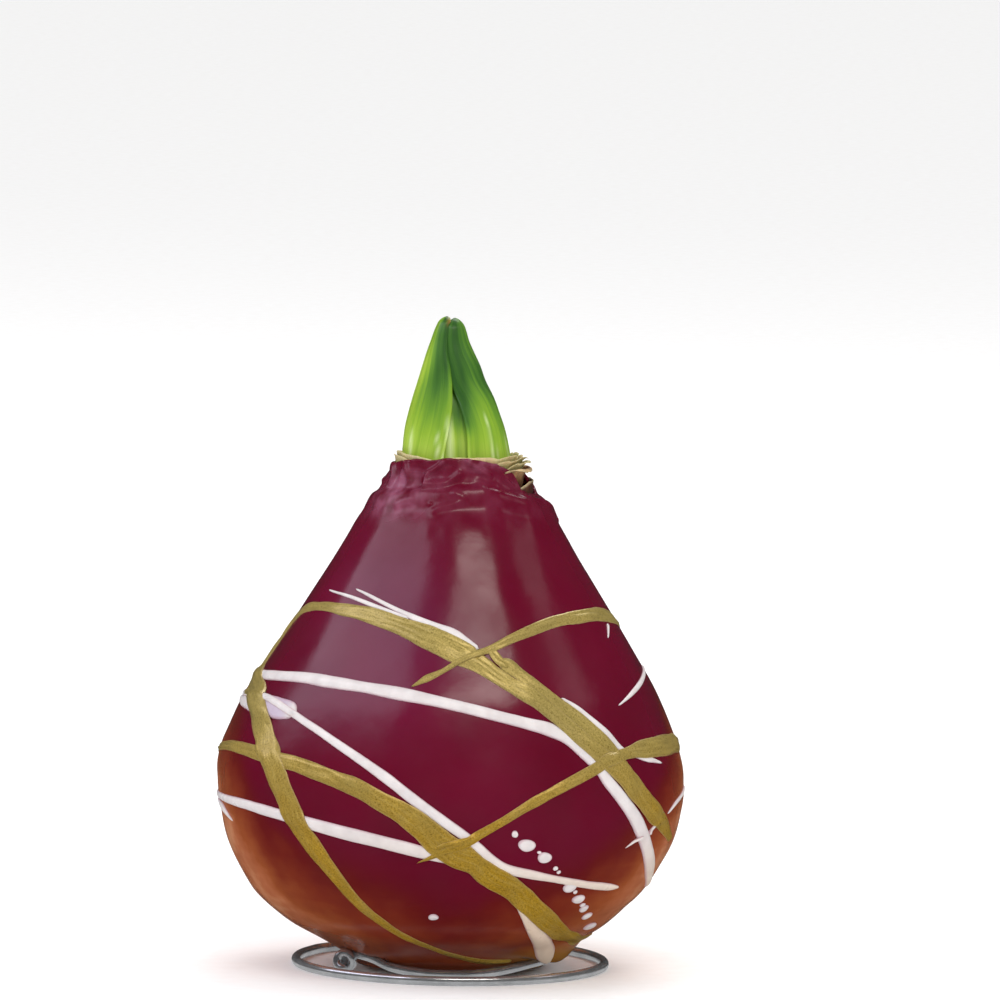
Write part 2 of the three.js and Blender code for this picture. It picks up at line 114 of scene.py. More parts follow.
# Closed shell from rings of points: quads between neighbouring rings and a fan to a pole at each
# end. Its UV is the length along the rings and the length round each ring, in millimetres; evenAround
# stretches every ring's to that of the longest, so that lines run from ring to ring without slanting.
def shell(rings, evenAround=False, **layers):
    rows, around, _ = rings.shape
    closed = np.concatenate([rings, rings[:, :1]], 1)
    gaps = np.linalg.norm(np.diff(closed, axis=1), axis=2)
    across = np.concatenate([np.zeros((rows, 1)), np.cumsum(gaps, 1)], 1)
    if evenAround:
        across *= across[:, -1].max() / np.maximum(across[:, -1:], 0.001)
    steps = np.linalg.norm(np.diff(rings, axis=0), axis=2).mean(1)
    along = np.concatenate([[0], np.cumsum(steps)])[:, None] + 0 * across
    uv = np.stack([along, across], -1)
    row, col = np.indices((rows - 1, around))
    after = (col + 1) % around
    here, above = row * around, (row + 1) * around
    quads = np.stack([here + col, here + after, above + after, above + col], -1)
    quadUv = np.stack([uv[row, col], uv[row, col + 1], uv[row + 1, col + 1], uv[row + 1, col]], -2)
    col = np.arange(around)
    after, pole, last = (col + 1) % around, rows * around, (rows - 1) * around
    firstFan = np.stack([pole + 0 * col, after, col], 1)
    lastFan = np.stack([pole + 1 + 0 * col, last + col, last + after], 1)
    fans = np.concatenate([firstFan, lastFan])
    fanUv = np.concatenate([
        np.stack([(uv[0, col] + uv[0, col + 1]) / 2, uv[0, col + 1], uv[0, col]], 1),
        np.stack([(uv[-1, col] + uv[-1, col + 1]) / 2, uv[-1, col], uv[-1, col + 1]], 1)])
    points = np.vstack([rings.reshape(-1, 3), rings[0].mean(0), rings[-1].mean(0)])
    quads, quadUv = quads.reshape(-1, 4), quadUv.reshape(-1, 4, 2)
    a, b, c, d = (points[quads[:, i]] for i in range(4))
    volume = np.sum(a * np.cross(b, c)) + np.sum(a * np.cross(c, d))
    a, b, c = (points[fans[:, i]] for i in range(3))
    if volume + np.sum(a * np.cross(b, c)) < 0:
        quads, quadUv, fans, fanUv = quads[:, ::-1], quadUv[:, ::-1], fans[:, ::-1], fanUv[:, ::-1]
    flat = {}
    for name, layer in layers.items():
        values = (layer + 0 * rings[:, :, 0]).ravel()
        flat[name] = np.append(values, [np.mean(layer[0]), np.mean(layer[-1])])
    return {"points": points, "quads": quads, "quadUv": quadUv, "fans": fans, "fanUv": fanUv, "layers": flat}


def newObject(name, data):
    made = bpy.data.objects.new(name, data)
    bpy.context.scene.collection.objects.link(made)
    return made


# One mesh object from shells, riding on the root body in place of its CAD nodes
def makePiece(name, shells, material, nodes):
    offsets = np.cumsum([0] + [len(s["points"]) for s in shells])
    points = np.vstack([s["points"] for s in shells]) * metresPerMillimetre
    quads = np.vstack([s["quads"] + o for s, o in zip(shells, offsets)])
    fans = np.vstack([s["fans"] + o for s, o in zip(shells, offsets)])
    uv = np.concatenate([s[key].reshape(-1, 2) for key in ("quadUv", "fanUv") for s in shells])
    corners = np.concatenate([quads.ravel(), fans.ravel()])
    starts = np.concatenate([np.arange(len(quads)) * 4, len(quads) * 4 + np.arange(len(fans)) * 3])
    mesh = bpy.data.meshes.new(name)
    mesh.vertices.add(len(points))
    mesh.vertices.foreach_set("co", points.astype(np.float32).ravel())
    mesh.loops.add(len(corners))
    mesh.loops.foreach_set("vertex_index", corners.astype(np.int32))
    mesh.polygons.add(len(starts))
    mesh.polygons.foreach_set("loop_start", starts.astype(np.int32))
    mesh.polygons.foreach_set("use_smooth", np.ones(len(starts), bool))
    mesh.uv_layers.new(name="surface").data.foreach_set("uv", uv.astype(np.float32).ravel())
    for layer in shells[0]["layers"]:
        values = np.concatenate([s["layers"][layer] for s in shells])
        mesh.attributes.new(layer, "FLOAT", "POINT").data.foreach_set("value", values.astype(np.float32))
    mesh.update(calc_edges=True)
    mesh.validate()
    mesh.materials.append(material)
    piece = newObject(name, mesh)
    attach(piece, "root")
    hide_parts(*nodes)
    pieces[name] = piece
    print(name, len(quads) * 2 + len(fans), "triangles")
    return piece


skinShape = {
    # half width and height of the waxed bulb, from the basal plate to the neck
    "outline": [
        (20.5, 0.9), (22.8, 3), (27.8, 6.3), (34.5, 9.9), (40.2, 14.4), (43.6, 18.6), (48.2, 27.5), (50, 36),
        (50.2, 40.3), (49.9, 44.7), (47.9, 51.2), (44, 59.9), (38.7, 68.6), (32, 79.5), (26.6, 88.2),
        (21.6, 96.9), (18.6, 101.2), (16.3, 105.6), (15.4, 107.7), (14.9, 109.4), (14.5, 111.6)],
    "depth": 0.97,  # front to back over side to side
    # how far the left side stands out and the right side in from the turned shape, by height
    "sides": [
        (0, 0, 0), (4, 0.4, -0.3), (6.1, 0.6, -0.2), (8.2, 0.5, 0.5), (10.4, 0.45, 1.2), (12.6, 0.4, 1.7),
        (14.7, 0.4, 1.95), (19, 0.35, 1.4), (23.4, 0.3, 1.2), (27.7, 0.15, 0.8), (32, 0.1, 0.4),
        (38, 0.15, 0), (47, 0.5, -0.1), (52, 0.3, -0.1), (60, 0.35, 0), (66, 0.1, 0), (80, 0, 0),
        (150, 0, 0)],
    "fullness": (0.6, 50, 30),  # towards the left: amount, height and reach
    # lumps all round: rise, cells round, height of a cell, seed, offset, and the heights over which
    # they come in
    "waves": [
        (0.26, 13, 21, 3, 5, -2, -1), (0.07, 41, 7, 5, 0, -2, -1), (0.16, 29, 34, 8, 0, 55, 75),
        (0.1, 60, 4, 21, 0, 90, 100)],
    # the thick roll that the collar ends in: its rise and how much that changes, how far below the ledge
    # its middle is, its reach, the step down to the collar, and how far the ledge wanders
    "roll": {
        "rise": 0.62, "change": 0.3, "below": 1.5, "reach": 3.4,
        "step": 0.5, "stepHalf": 0.9, "wander": 0.35},
    "dents": (0.12, 4, 5.5),  # below the roll: depth, distance under the ledge and reach
    "folds": {"from": -0.3, "full": 1.6, "broad": 0.42, "fine": 0.2},  # of the collar above the ledge
    "plain": (2.5, 7),  # no relief below the first height, all of it above the second
    "lobe": {"drop": 3.2, "azimuth": 56, "span": 28, "radius": 27.6, "reach": 3.6, "fade": (6, 16)},
    # where the collar of thick wax at the neck meets the shoulder, by azimuth
    "ledge": [
        (-180, 103.6), (-150, 103.0), (-118, 102.4), (-84, 102.7), (-73, 103.5), (-46, 103.9), (-27, 104.6),
        (-19, 104.9), (-7, 104.9), (2, 105.2), (18, 105.6), (29, 104.7), (44, 103.8), (58, 102.8),
        (90, 101.6), (120, 102.4), (150, 103.8)],
    # creases pushed up in the collar and on the body: points of (azimuth, height), rise and width
    "creases": [
        ([(-13, 110.6), (-19, 109.3), (-26, 107.9), (-27, 105.6)], 0.85, 0.6),
        ([(-33, 109), (-34, 107.6), (-33, 106.4)], -0.45, 1.3),
        ([(-52, 110), (-47, 108), (-43, 106.2)], 0.6, 0.7),
        ([(-72, 109), (-66, 106.6), (-68, 104.4)], 0.6, 0.8),
        ([(-24, 105.8), (-8, 106.6), (1, 108.2)], 0.5, 0.7),
        ([(8, 110.9), (16, 109.4), (27, 107.9)], 0.55, 0.6),
        ([(35, 110), (43, 106.9), (50, 105)], 0.5, 0.6),
        ([(-2, 104), (3.6, 102.8), (-3, 101.8), (-11, 101.1), (-16, 100.4)], 0.3, 0.8),
        ([(-43, 101.1), (-39, 101.9), (-34, 102.4)], 0.35, 0.9),
        ([(52, 107.9), (54, 104.5), (58, 103.2), (74, 101.9), (94, 99.2), (96, 97)], 0.55, 0.55),
        ([(150, 110), (162, 107), (158, 104.5)], 0.6, 0.7),
        ([(-165, 109.5), (-150, 107.2), (-128, 106)], 0.55, 0.8),
        ([(-118, 109), (-106, 106.4), (-96, 105.2)], 0.55, 0.7),
        ([(-19, 101.8), (-18.6, 101.7)], 0.3, 0.33),
        ([(-22, 16.8), (-8, 18.6), (4, 19.6), (16, 20.6)], 0.16, 0.9),
        ([(9, 89), (9, 86)], 0.62, 8.5)],
}
outline = through(skinShape["outline"], 60)
skinArc = lengthAlong(outline)
slope = np.gradient(outline, skinArc, axis=0)
slope /= np.linalg.norm(slope, axis=1)[:, None]
sides = through(skinShape["sides"], 8)


# Length up the skin at a height
def arcOf(height):
    return np.interp(height, outline[:, 1], skinArc)


def skinRadius(arc):
    return np.interp(arc, skinArc, outline[:, 0])


# Point at radius and height turned to its azimuth: x = r sin a, y = -r cos a, z = h
def polar(radius, azimuth, height):
    angle = np.radians(azimuth)
    return np.stack(np.broadcast_arrays(radius * np.sin(angle), -radius * np.cos(angle), height), -1)


# The turned shape moved to the grown one: fuller on the left and drawn in low on the right, both by
# the sine squared of the azimuth, one lobe hanging from the basal plate's rim, the whole moved left
# at mid height and flatter from front to back
def grown(radius, azimuth, height):
    turn = np.sin(np.radians(azimuth))
    outward = np.interp(height, sides[:, 0], sides[:, 1]) * np.minimum(turn, 0) ** 2
    inward = np.interp(height, sides[:, 0], sides[:, 2]) * np.maximum(turn, 0) ** 2
    lobe = skinShape["lobe"]
    turned = turnedFrom(azimuth, lobe["azimuth"])
    drop = lobe["drop"] * hump(turned, 0, lobe["span"]) * hump(radius, lobe["radius"], lobe["reach"])
    point = polar(radius + outward - inward, azimuth, height - drop * (1 - ease(height, *lobe["fade"])))
    amount, middle, reach = skinShape["fullness"]
    point[..., 0] -= amount * hump(height, middle, reach)
    point[..., 1] *= skinShape["depth"]
    return point


# Distance in the skin, in millimetres, from points to a line of (azimuth, height) points
def distanceOnSkin(azimuth, height, line):
    line = through(line, 12)
    radius = np.interp(height, outline[:, 1], outline[:, 0])
    nearest = np.full(azimuth.shape, np.inf)
    for lineAzimuth, lineHeight in line:
        sideways = turnedFrom(azimuth, lineAzimuth) * np.radians(1) * radius
        nearest = np.minimum(nearest, np.hypot(sideways, height - lineHeight))
    return nearest


# How far the hand-dipped wax stands off the smooth skin: broad and small lumps, long soft dents
# down the shoulder, a thick soft roll where the collar ends, the collar's folds above it, and
# creases whose section is a bell curve
def relief(azimuth, height):
    turns, lift = azimuth / 360, 0 * height
    for rise, cells, tall, seed, offset, start, full in skinShape["waves"]:
        wave = wander(turns * cells, height / tall + offset, seed, cells)
        lift = lift + rise * wave * ease(height, start, full)
    roll, folds = skinShape["roll"], skinShape["folds"]
    ledge = aroundTable(azimuth, skinShape["ledge"]) + roll["wander"] * wander(turns * 23, 0, 51, 23)
    thick = roll["rise"] + roll["change"] * wander(turns * 15, 3, 52, 15)
    lift += thick * hump(height, ledge - roll["below"], roll["reach"])
    lift -= roll["step"] * ease(height, ledge - roll["stepHalf"], ledge + roll["stepHalf"])
    depth, below, reach = skinShape["dents"]
    lift += depth * hump(height, ledge - below, reach) * wander(turns * 19 + height / 15, height / 5, 14, 19)
    gathers = folds["broad"] * wander(turns * 24 + height / 8, height / 3.4, 12, 24)
    gathers += folds["fine"] * wander(turns * 67, height / 2.4, 13, 67)
    lift += ease(height, ledge + folds["from"], ledge + folds["full"]) * gathers
    for line, rise, width in skinShape["creases"]:
        near = np.abs(height - np.mean(line, axis=0)[1]) < 6 + 3 * width  # all that the crease can reach
        distance = distanceOnSkin(azimuth[near], height[near], line)
        lift[near] += rise * bell(distance, 0, width)
    return lift * ease(height, *skinShape["plain"])


# Point on the grown skin at an azimuth and a length up it, raised along the normal by lift
def onSkin(azimuth, arc, lift):
    azimuth, arc, lift = (np.array(a, float) for a in np.broadcast_arrays(azimuth, arc, lift))
    radius, height = skinRadius(arc), np.interp(arc, skinArc, outline[:, 1])
    across, up = np.interp(arc, skinArc, slope[:, 1]), -np.interp(arc, skinArc, slope[:, 0])
    lift = lift + relief(azimuth, height)
    return grown(radius + across * lift, azimuth, height + up * lift)


# sRGB hex to linear: c / 12.92 up to 0.04045, above it ((c + 0.055) / 1.055) to the power 2.4
def hexColour(code):
    channels = [int(code[i:i + 2], 16) / 255 for i in (1, 3, 5)]
    return tuple(c / 12.92 if c <= 0.04045 else ((c + 0.055) / 1.055) ** 2.4 for c in channels) + (1.0,)


# Adds a node and gives back one of its output sockets. Inputs are values or the sockets that feed
# them, stops the hex colours or grey levels of a ramp, and settings the node's own properties.
def addNode(tree, kind, inputs=None, output=0, stops=None, **settings):
    made = tree.nodes.new("ShaderNode" + kind)
    for key, value in settings.items():
        setattr(made, key, value)
    for key, value in (inputs or {}).items():
        if isinstance(value, bpy.types.NodeSocket):
            tree.links.new(value, made.inputs[key])
        else:
            made.inputs[key].default_value = value
    if stops:
        elements = made.color_ramp.elements
        while len(elements) < len(stops):
            elements.new(0.5)
        for element, (place, level) in zip(elements, stops):
            element.position = place
            element.color = hexColour(level) if isinstance(level, str) else (level, level, level, 1)
    return made.outputs[output] if made.outputs else made


# A material whose surface function lays its nodes and gives back what its shader takes
def newMaterial(name, surface):
    made = bpy.data.materials.new(name)
    made.use_nodes = True
    tree = made.node_tree
    tree.nodes.clear()
    shader = addNode(tree, "BsdfPrincipled", surface(tree))
    addNode(tree, "OutputMaterial", {"Surface": shader})
    return made


# Dyed paraffin wax, dipped by hand: deep burgundy with a satin skin that scatters a little light
# just under the surface. A warm reflection and bounce light are painted in as copper-brown low on the
# bulb, palest on its flanks, and a soft sheen is painted as purple on its upper left. It is milky where
# it is thin at the torn rim, with a pale sheen painted on the roll below the collar, and worn to tan on
# the lowest lobe
def dippedWax(tree):
    place = addNode(tree, "TexCoord", output="Object")
    copper, haze, milk, bare = (
        addNode(tree, "Attribute", output="Fac", attribute_name=name)
        for name in ("copper", "haze", "milk", "bare"))
    # streaks that the dip left, 20 mm long and 1.2 mm high
    level = addNode(tree, "Mapping", {"Vector": place, "Scale": (1 / 0.02, 1 / 0.02, 1 / 0.0012)})
    streaks, clouds, mottle, patches, gloss, soft, fine = (
        addNode(tree, "TexNoise", {"Vector": where, "Scale": scale, "Detail": detail, "Roughness": grain})
        for where, scale, detail, grain in (
            (level, 1.0, 2, 0.5), (place, 1 / 0.03, 2, 0.5), (place, 1 / 0.008, 3, 0.5),
            (place, 1 / 0.004, 2, 0.5), (place, 1 / 0.011, 3, 0.5), (place, 1 / 0.007, 2, 0.4),
            (place, 1 / 0.0009, 3, 0.6)))
    # A copper-brown tone painted for warm reflection and bounce light, palest where it is strongest, broken
    # up by the dip's streaks and a mottle
    reflectionTone = addNode(tree, "Math", {0: streaks, 1: 0.07, 2: -0.235}, operation="MULTIPLY_ADD")
    reflectionTone = addNode(tree, "Math", {0: mottle, 1: 0.4, 2: reflectionTone}, operation="MULTIPLY_ADD")
    reflectionTone = addNode(tree, "Math", {0: copper, 1: reflectionTone}, operation="ADD")
    red, brown, share, patchy, satin = (
        addNode(tree, "ValToRGB", {"Fac": source}, stops=stops) for source, stops in (
            (clouds, [(0.2, "#530319"), (0.8, "#650526")]),
            (reflectionTone, [
                (0.0, "#590518"), (0.25, "#5f1211"), (0.5, "#742a16"), (0.75, "#8e4723"), (0.9, "#a8623f"),
                (1.0, "#c0835d")]),
            (copper, [(0.02, 0.0), (0.22, 1.0)]), (patches, [(0.38, 0.0), (0.68, 1.0)]),
            (gloss, [(0.3, 0.17), (0.7, 0.265)])))
    # Pale pink in patches: milky thin wax at the rim, and a painted sheen on the roll below the collar
    milkAndSheenPatches = addNode(tree, "Math", {0: milk, 1: patchy}, operation="MULTIPLY")
    satin = addNode(tree, "Math", {0: milk, 1: 0.15, 2: satin}, operation="MULTIPLY_ADD")
    colour = red
    # Over the red: a painted purple sheen, the painted copper-brown reflection, milky wax with a painted pale
    # sheen, and the bare tan lobe
    for over, tint in (
            (haze, hexColour("#6a2455")), (share, brown), (milkAndSheenPatches, hexColour("#a2607c")),
            (bare, hexColour("#8f6428"))):
        colour = addNode(tree, "Mix", {0: over, 6: colour, 7: tint}, 2, data_type="RGBA")
    bump = addNode(tree, "Bump", {"Height": soft, "Strength": 0.35, "Distance": 0.0004})
    bump = addNode(tree, "Bump", {"Height": fine, "Normal": bump, "Strength": 0.2, "Distance": 0.00005})
    return {
        "Base Color": colour, "Roughness": satin, "Normal": bump, "IOR": 1.44, "Specular IOR Level": 0.5,
        "Subsurface Weight": 0.08, "Subsurface Radius": (1.0, 0.25, 0.15), "Subsurface Scale": 0.0012}


# Gold bronze-powder wax, poured: fine metal flakes held in wax, so a soft grainy gleam, drawn out
# in lines along the strand, with pale painted highlights along some of those lines, and warmer low
# down. The flakes are drawn 0.35 mm across, coarser than real ones, so that they show.
def bronzeWax(tree):
    place = addNode(tree, "TexCoord", output="Object")
    ribbon = addNode(tree, "UVMap", uv_map="surface")
    drawn = addNode(tree, "Mapping", {"Vector": ribbon, "Scale": (0.14, 1.5, 1)})
    edge, low = (addNode(tree, "Attribute", output="Fac", attribute_name=name) for name in ("edge", "low"))
    flakes, drag, patches = (
        addNode(tree, "TexNoise", {"Vector": where, "Scale": scale, "Detail": detail, "Roughness": grain})
        for where, scale, detail, grain in (
            (place, 1 / 0.00035, 2, 0.7), (drawn, 1.0, 3, 0.6), (place, 1 / 0.008, 2, 0.5)))
    # The pale streaks along the drag lines are painted highlights
    colour, warm, dull, streakHighlight, thin, rough = (
        addNode(tree, "ValToRGB", {"Fac": source}, stops=stops) for source, stops in (
            (flakes, [(0.3, "#93803c"), (0.7, "#cbb566")]), (flakes, [(0.3, "#9a740c"), (0.7, "#d0a628")]),
            (patches, [(0.4, 0.0), (0.75, 0.4)]), (drag, [(0.45, 0.0), (0.75, 0.28)]),
            (edge, [(0.86, 0.0), (0.97, 0.3)]), (flakes, [(0.3, 0.26), (0.7, 0.4)])))
    for over, tint in (
            (low, warm), (dull, hexColour("#948248")), (streakHighlight, hexColour("#e6cd78")),
            (thin, hexColour("#d2b98a"))):
        colour = addNode(tree, "Mix", {0: over, 6: colour, 7: tint}, 2, data_type="RGBA")
    bump = addNode(tree, "Bump", {"Height": drag, "Strength": 0.5, "Distance": 0.0003})
    bump = addNode(tree, "Bump", {"Height": flakes, "Normal": bump, "Strength": 0.25, "Distance": 0.00006})
    return {
        "Base Color": colour, "Metallic": 0.4, "Roughness": rough, "Normal": bump, "Coat Weight": 0.35,
        "Coat Roughness": 0.25}


# White pigmented paraffin wax, poured in threads: soft gloss, faintly pink at its thin edges,
# letting the purple through where it ran out wide, and tan low down
def whiteWax(tree):
    place = addNode(tree, "TexCoord", output="Object")
    edge, low, veil = (
        addNode(tree, "Attribute", output="Fac", attribute_name=name) for name in ("edge", "low", "veil"))
    clouds, ripples = (
        addNode(tree, "TexNoise", {"Vector": place, "Scale": 1 / size, "Detail": detail})
        for size, detail in ((0.004, 3), (0.0022, 2)))
    colour, thin, satin = (
        addNode(tree, "ValToRGB", {"Fac": source}, stops=stops) for source, stops in (
            (clouds, [(0.3, "#dad5d4"), (0.7, "#c8c1c1")]), (edge, [(0.72, 0.0), (1.0, 0.6)]),
            (clouds, [(0.3, 0.26), (0.7, 0.38)])))
    lowTan = addNode(tree, "Math", {0: low, 1: 0.6}, operation="MULTIPLY")
    for over, tint in ((lowTan, "#dcc09c"), (veil, "#a58cb4"), (thin, "#b27f90")):
        colour = addNode(tree, "Mix", {0: over, 6: colour, 7: hexColour(tint)}, 2, data_type="RGBA")
    bump = addNode(tree, "Bump", {"Height": ripples, "Strength": 0.15, "Distance": 0.0002})
    return {
        "Base Color": colour, "Roughness": satin, "Normal": bump, "IOR": 1.44, "Subsurface Weight": 0.15,
        "Subsurface Radius": (1.0, 0.7, 0.6), "Subsurface Scale": 0.0006}


# Living leaf with a waxy cuticle: parallel veins 0.7 mm apart run up the blade, with highlights
# painted as pale streaks along a few ribs; yellow-green low down and along the margin, deep green in
# the fold and towards the tip, with painted shade added where the left leaf's edge overhangs the right
# leaf and in the young leaf between them
def livingLeaf(tree):
    blade = addNode(tree, "UVMap", uv_map="surface")
    deep, blush, rib = (
        addNode(tree, "Attribute", output="Fac", attribute_name=name) for name in ("deep", "blush", "rib"))
    fineLines, broadLines = (
        addNode(tree, "Mapping", {"Vector": blade, "Scale": (0.03, across, 1)}) for across in (1.4, 0.42))
    veins = addNode(tree, "TexNoise", {"Vector": fineLines, "Scale": 1.0, "Detail": 3, "Roughness": 0.55})
    bands = addNode(tree, "TexNoise", {"Vector": broadLines, "Scale": 1.0, "Detail": 2})
    depth = addNode(tree, "Math", {0: bands, 1: 0.8, 2: -0.6}, operation="MULTIPLY_ADD")
    depth = addNode(tree, "Math", {0: veins, 1: 0.4, 2: depth}, operation="MULTIPLY_ADD")
    depth = addNode(tree, "Math", {0: deep, 1: depth}, operation="ADD")
    colour = addNode(tree, "ValToRGB", {"Fac": depth}, stops=[
        (0.0, "#a6c344"), (0.25, "#84a82a"), (0.5, "#608c26"), (0.75, "#406d24"), (1.0, "#2c561e")])
    # The pale rib streaks are painted highlights
    for over, tint in ((rib, "#dfeeb4"), (blush, "#b5682f")):
        colour = addNode(tree, "Mix", {0: over, 6: colour, 7: hexColour(tint)}, 2, data_type="RGBA")
    satin = addNode(tree, "ValToRGB", {"Fac": veins}, stops=[(0.3, 0.26), (0.7, 0.36)])
    bump = addNode(tree, "Bump", {"Height": veins, "Strength": 0.3, "Distance": 0.00015})
    return {
        "Base Color": colour, "Roughness": satin, "Normal": bump, "IOR": 1.45, "Subsurface Weight": 0.12,
        "Subsurface Radius": (0.5, 1.0, 0.2), "Subsurface Scale": 0.0012}


# Dry papery bulb scale: from a reddish brown where it is oldest through orange tan to khaki where
# it was last alive, with fibres 0.4 mm apart round the sheet and a pale dry edge
def dryPaper(tree):
    sheet = addNode(tree, "UVMap", uv_map="surface")
    place = addNode(tree, "TexCoord", output="Object")
    fresh, edge = (
        addNode(tree, "Attribute", output="Fac", attribute_name=name) for name in ("fresh", "edge"))
    run = addNode(tree, "Mapping", {"Vector": sheet, "Scale": (2.4, 0.1, 1)})
    stains = addNode(tree, "TexNoise", {"Vector": place, "Scale": 1 / 0.003, "Detail": 3})
    fibres = addNode(tree, "TexNoise", {"Vector": run, "Scale": 1.0, "Detail": 3, "Roughness": 0.6})
    age = addNode(tree, "Math", {0: stains, 1: 0.5, 2: fresh}, operation="MULTIPLY_ADD")
    age = addNode(tree, "Math", {0: age, 1: -0.25}, operation="ADD")
    colour, dark, pale, rough = (
        addNode(tree, "ValToRGB", {"Fac": source}, stops=stops) for source, stops in (
            (age, [
                (0.0, "#4a2116"), (0.25, "#7c4a2b"), (0.5, "#b98e60"), (0.75, "#aca56c"), (1.0, "#9a9c60")]),
            (fibres, [(0.48, 0.0), (0.66, 0.6)]), (edge, [(0.86, 0.0), (1.0, 0.6)]),
            (stains, [(0.3, 0.42), (0.7, 0.62)])))
    for over, tint in ((dark, "#5b4326"), (pale, "#d3c496")):
        colour = addNode(tree, "Mix", {0: over, 6: colour, 7: hexColour(tint)}, 2, data_type="RGBA")
    bump = addNode(tree, "Bump", {"Height": fibres, "Strength": 0.5, "Distance": 0.0002})
    return {
        "Base Color": colour, "Roughness": rough, "Normal": bump, "IOR": 1.45, "Subsurface Weight": 0.1,
        "Subsurface Radius": (1.0, 0.6, 0.3), "Subsurface Scale": 0.0006}


# Bright drawn steel wire: fine lines run along it from the die, with faint darker stains. The lines
# are drawn 0.45 mm apart, coarser than real ones, so that they show.
def drawnSteel(tree):
    length = addNode(tree, "UVMap", uv_map="surface")
    place = addNode(tree, "TexCoord", output="Object")
    run = addNode(tree, "Mapping", {"Vector": length, "Scale": (0.03, 2.2, 1)})
    lines = addNode(tree, "TexNoise", {"Vector": run, "Scale": 1.0, "Detail": 2, "Roughness": 0.5})
    stains = addNode(tree, "TexNoise", {"Vector": place, "Scale": 1 / 0.006, "Detail": 4, "Roughness": 0.65})
    colour, scored, rough = (
        addNode(tree, "ValToRGB", {"Fac": source}, stops=stops) for source, stops in (
            (stains, [(0.35, "#dfe1e3"), (0.75, "#b6b9bc")]), (lines, [(0.5, 0.0), (0.75, 0.4)]),
            (stains, [(0.35, 0.16), (0.7, 0.28)])))
    colour = addNode(tree, "Mix", {0: scored, 6: colour, 7: hexColour("#6b6e72")}, 2, data_type="RGBA")
    bump = addNode(tree, "Bump", {"Height": lines, "Strength": 0.2, "Distance": 0.00006})
    return {"Base Color": colour, "Metallic": 0.85, "Roughness": rough, "Normal": bump}


# Dry tunic of the bulb under the wax: matt brown paper with upright veins 1.6 mm apart
def driedTunic(tree):
    place = addNode(tree, "TexCoord", output="Object")
    upright = addNode(tree, "Mapping", {"Vector": place, "Scale": (1 / 0.0016, 1 / 0.0016, 1 / 0.02)})
    veins = addNode(tree, "TexNoise", {"Vector": upright, "Scale": 1.0, "Detail": 3, "Roughness": 0.6})
    colour, rough = (
        addNode(tree, "ValToRGB", {"Fac": veins}, stops=stops)
        for stops in ([(0.35, "#b99565"), (0.65, "#7d5833")], [(0.3, 0.6), (0.7, 0.78)]))
    bump = addNode(tree, "Bump", {"Height": veins, "Strength": 0.4, "Distance": 0.0002})
    return {"Base Color": colour, "Roughness": rough, "Normal": bump, "IOR": 1.45}


wax, gold = newMaterial("dippedParaffinWax", dippedWax), newMaterial("bronzePowderWax", bronzeWax)
white, leaf = newMaterial("pouredWhiteWax", whiteWax), newMaterial("amaryllisLeaf", livingLeaf)
dryScale, tunic = newMaterial("dryBulbScale", dryPaper), newMaterial("bulbTunic", driedTunic)
steel = newMaterial("drawnSteelWire", drawnSteel)
print("materials made")

wireStand = {
    "radius": 1.0, "sides": 20, "step": 0.5, "endRound": [80, 60, 40, 20],  # degrees round its ends
    "ground": (33.3, 175, -130, -10),  # radius of the ring and its azimuths: from, to and step
    "climb": (-146, -210, -16, 134, 218, 1.9),  # azimuths, where the easing starts and ends, rise
    "inner": (22.6, -226, -394, -12, 0.05, 1.85, 8, 62),  # radius, azimuths, clearance, rise, flat and full
    "entry": [(22.6, -406, 3.2), (23.4, -416, 3.8)],
    "curl": {
        "centre": (-21.4, -11.4, 2.52), "across": (-0.86, 0.51, 0), "axis": (-0.51, -0.86, 0),
        "radius": 1.5, "pitch": 2.3, "degrees": 540, "every": 30},
}


# Centre line: a level ring on the ground, an eased climb inwards, a turn that rises away from the
# front under the basal plate, and a helix of one and a half turns
def wireLine():
    spec = wireStand
    radius, start, end, step = spec["ground"]
    azimuth = np.arange(start, end - 1, step)
    ground = polar(radius, azimuth, spec["radius"] + 0 * azimuth)
    innerRadius, innerStart, innerEnd, innerStep, clear, rise, flat, full = spec["inner"]
    climbStart, climbEnd, climbStep, easeFrom, easeTo, climbRise = spec["climb"]
    azimuth = np.arange(climbStart, climbEnd - 1, climbStep)
    share = ease(-azimuth, easeFrom, easeTo)
    climb = polar(radius + (innerRadius - radius) * share, azimuth, spec["radius"] + climbRise * share)
    azimuth = np.arange(innerStart, innerEnd - 1, innerStep)
    height = spec["radius"] + clear + rise * ease(np.abs(azimuth + 360), flat, full)
    inner = polar(innerRadius, azimuth, height)
    curl = spec["curl"]
    degrees = np.arange(0, curl["degrees"] + 1, curl["every"])
    turn = np.radians(degrees)[:, None]
    helix = np.array(curl["centre"]) + curl["radius"] * np.sin(turn) * np.array(curl["across"])
    helix = helix + curl["pitch"] * degrees[:, None] / 360 * np.array(curl["axis"])
    helix[:, 2] += curl["radius"] * np.cos(turn[:, 0])
    return through(np.vstack([ground, climb, inner, polar(*np.array(spec["entry"]).T), helix]), 24)


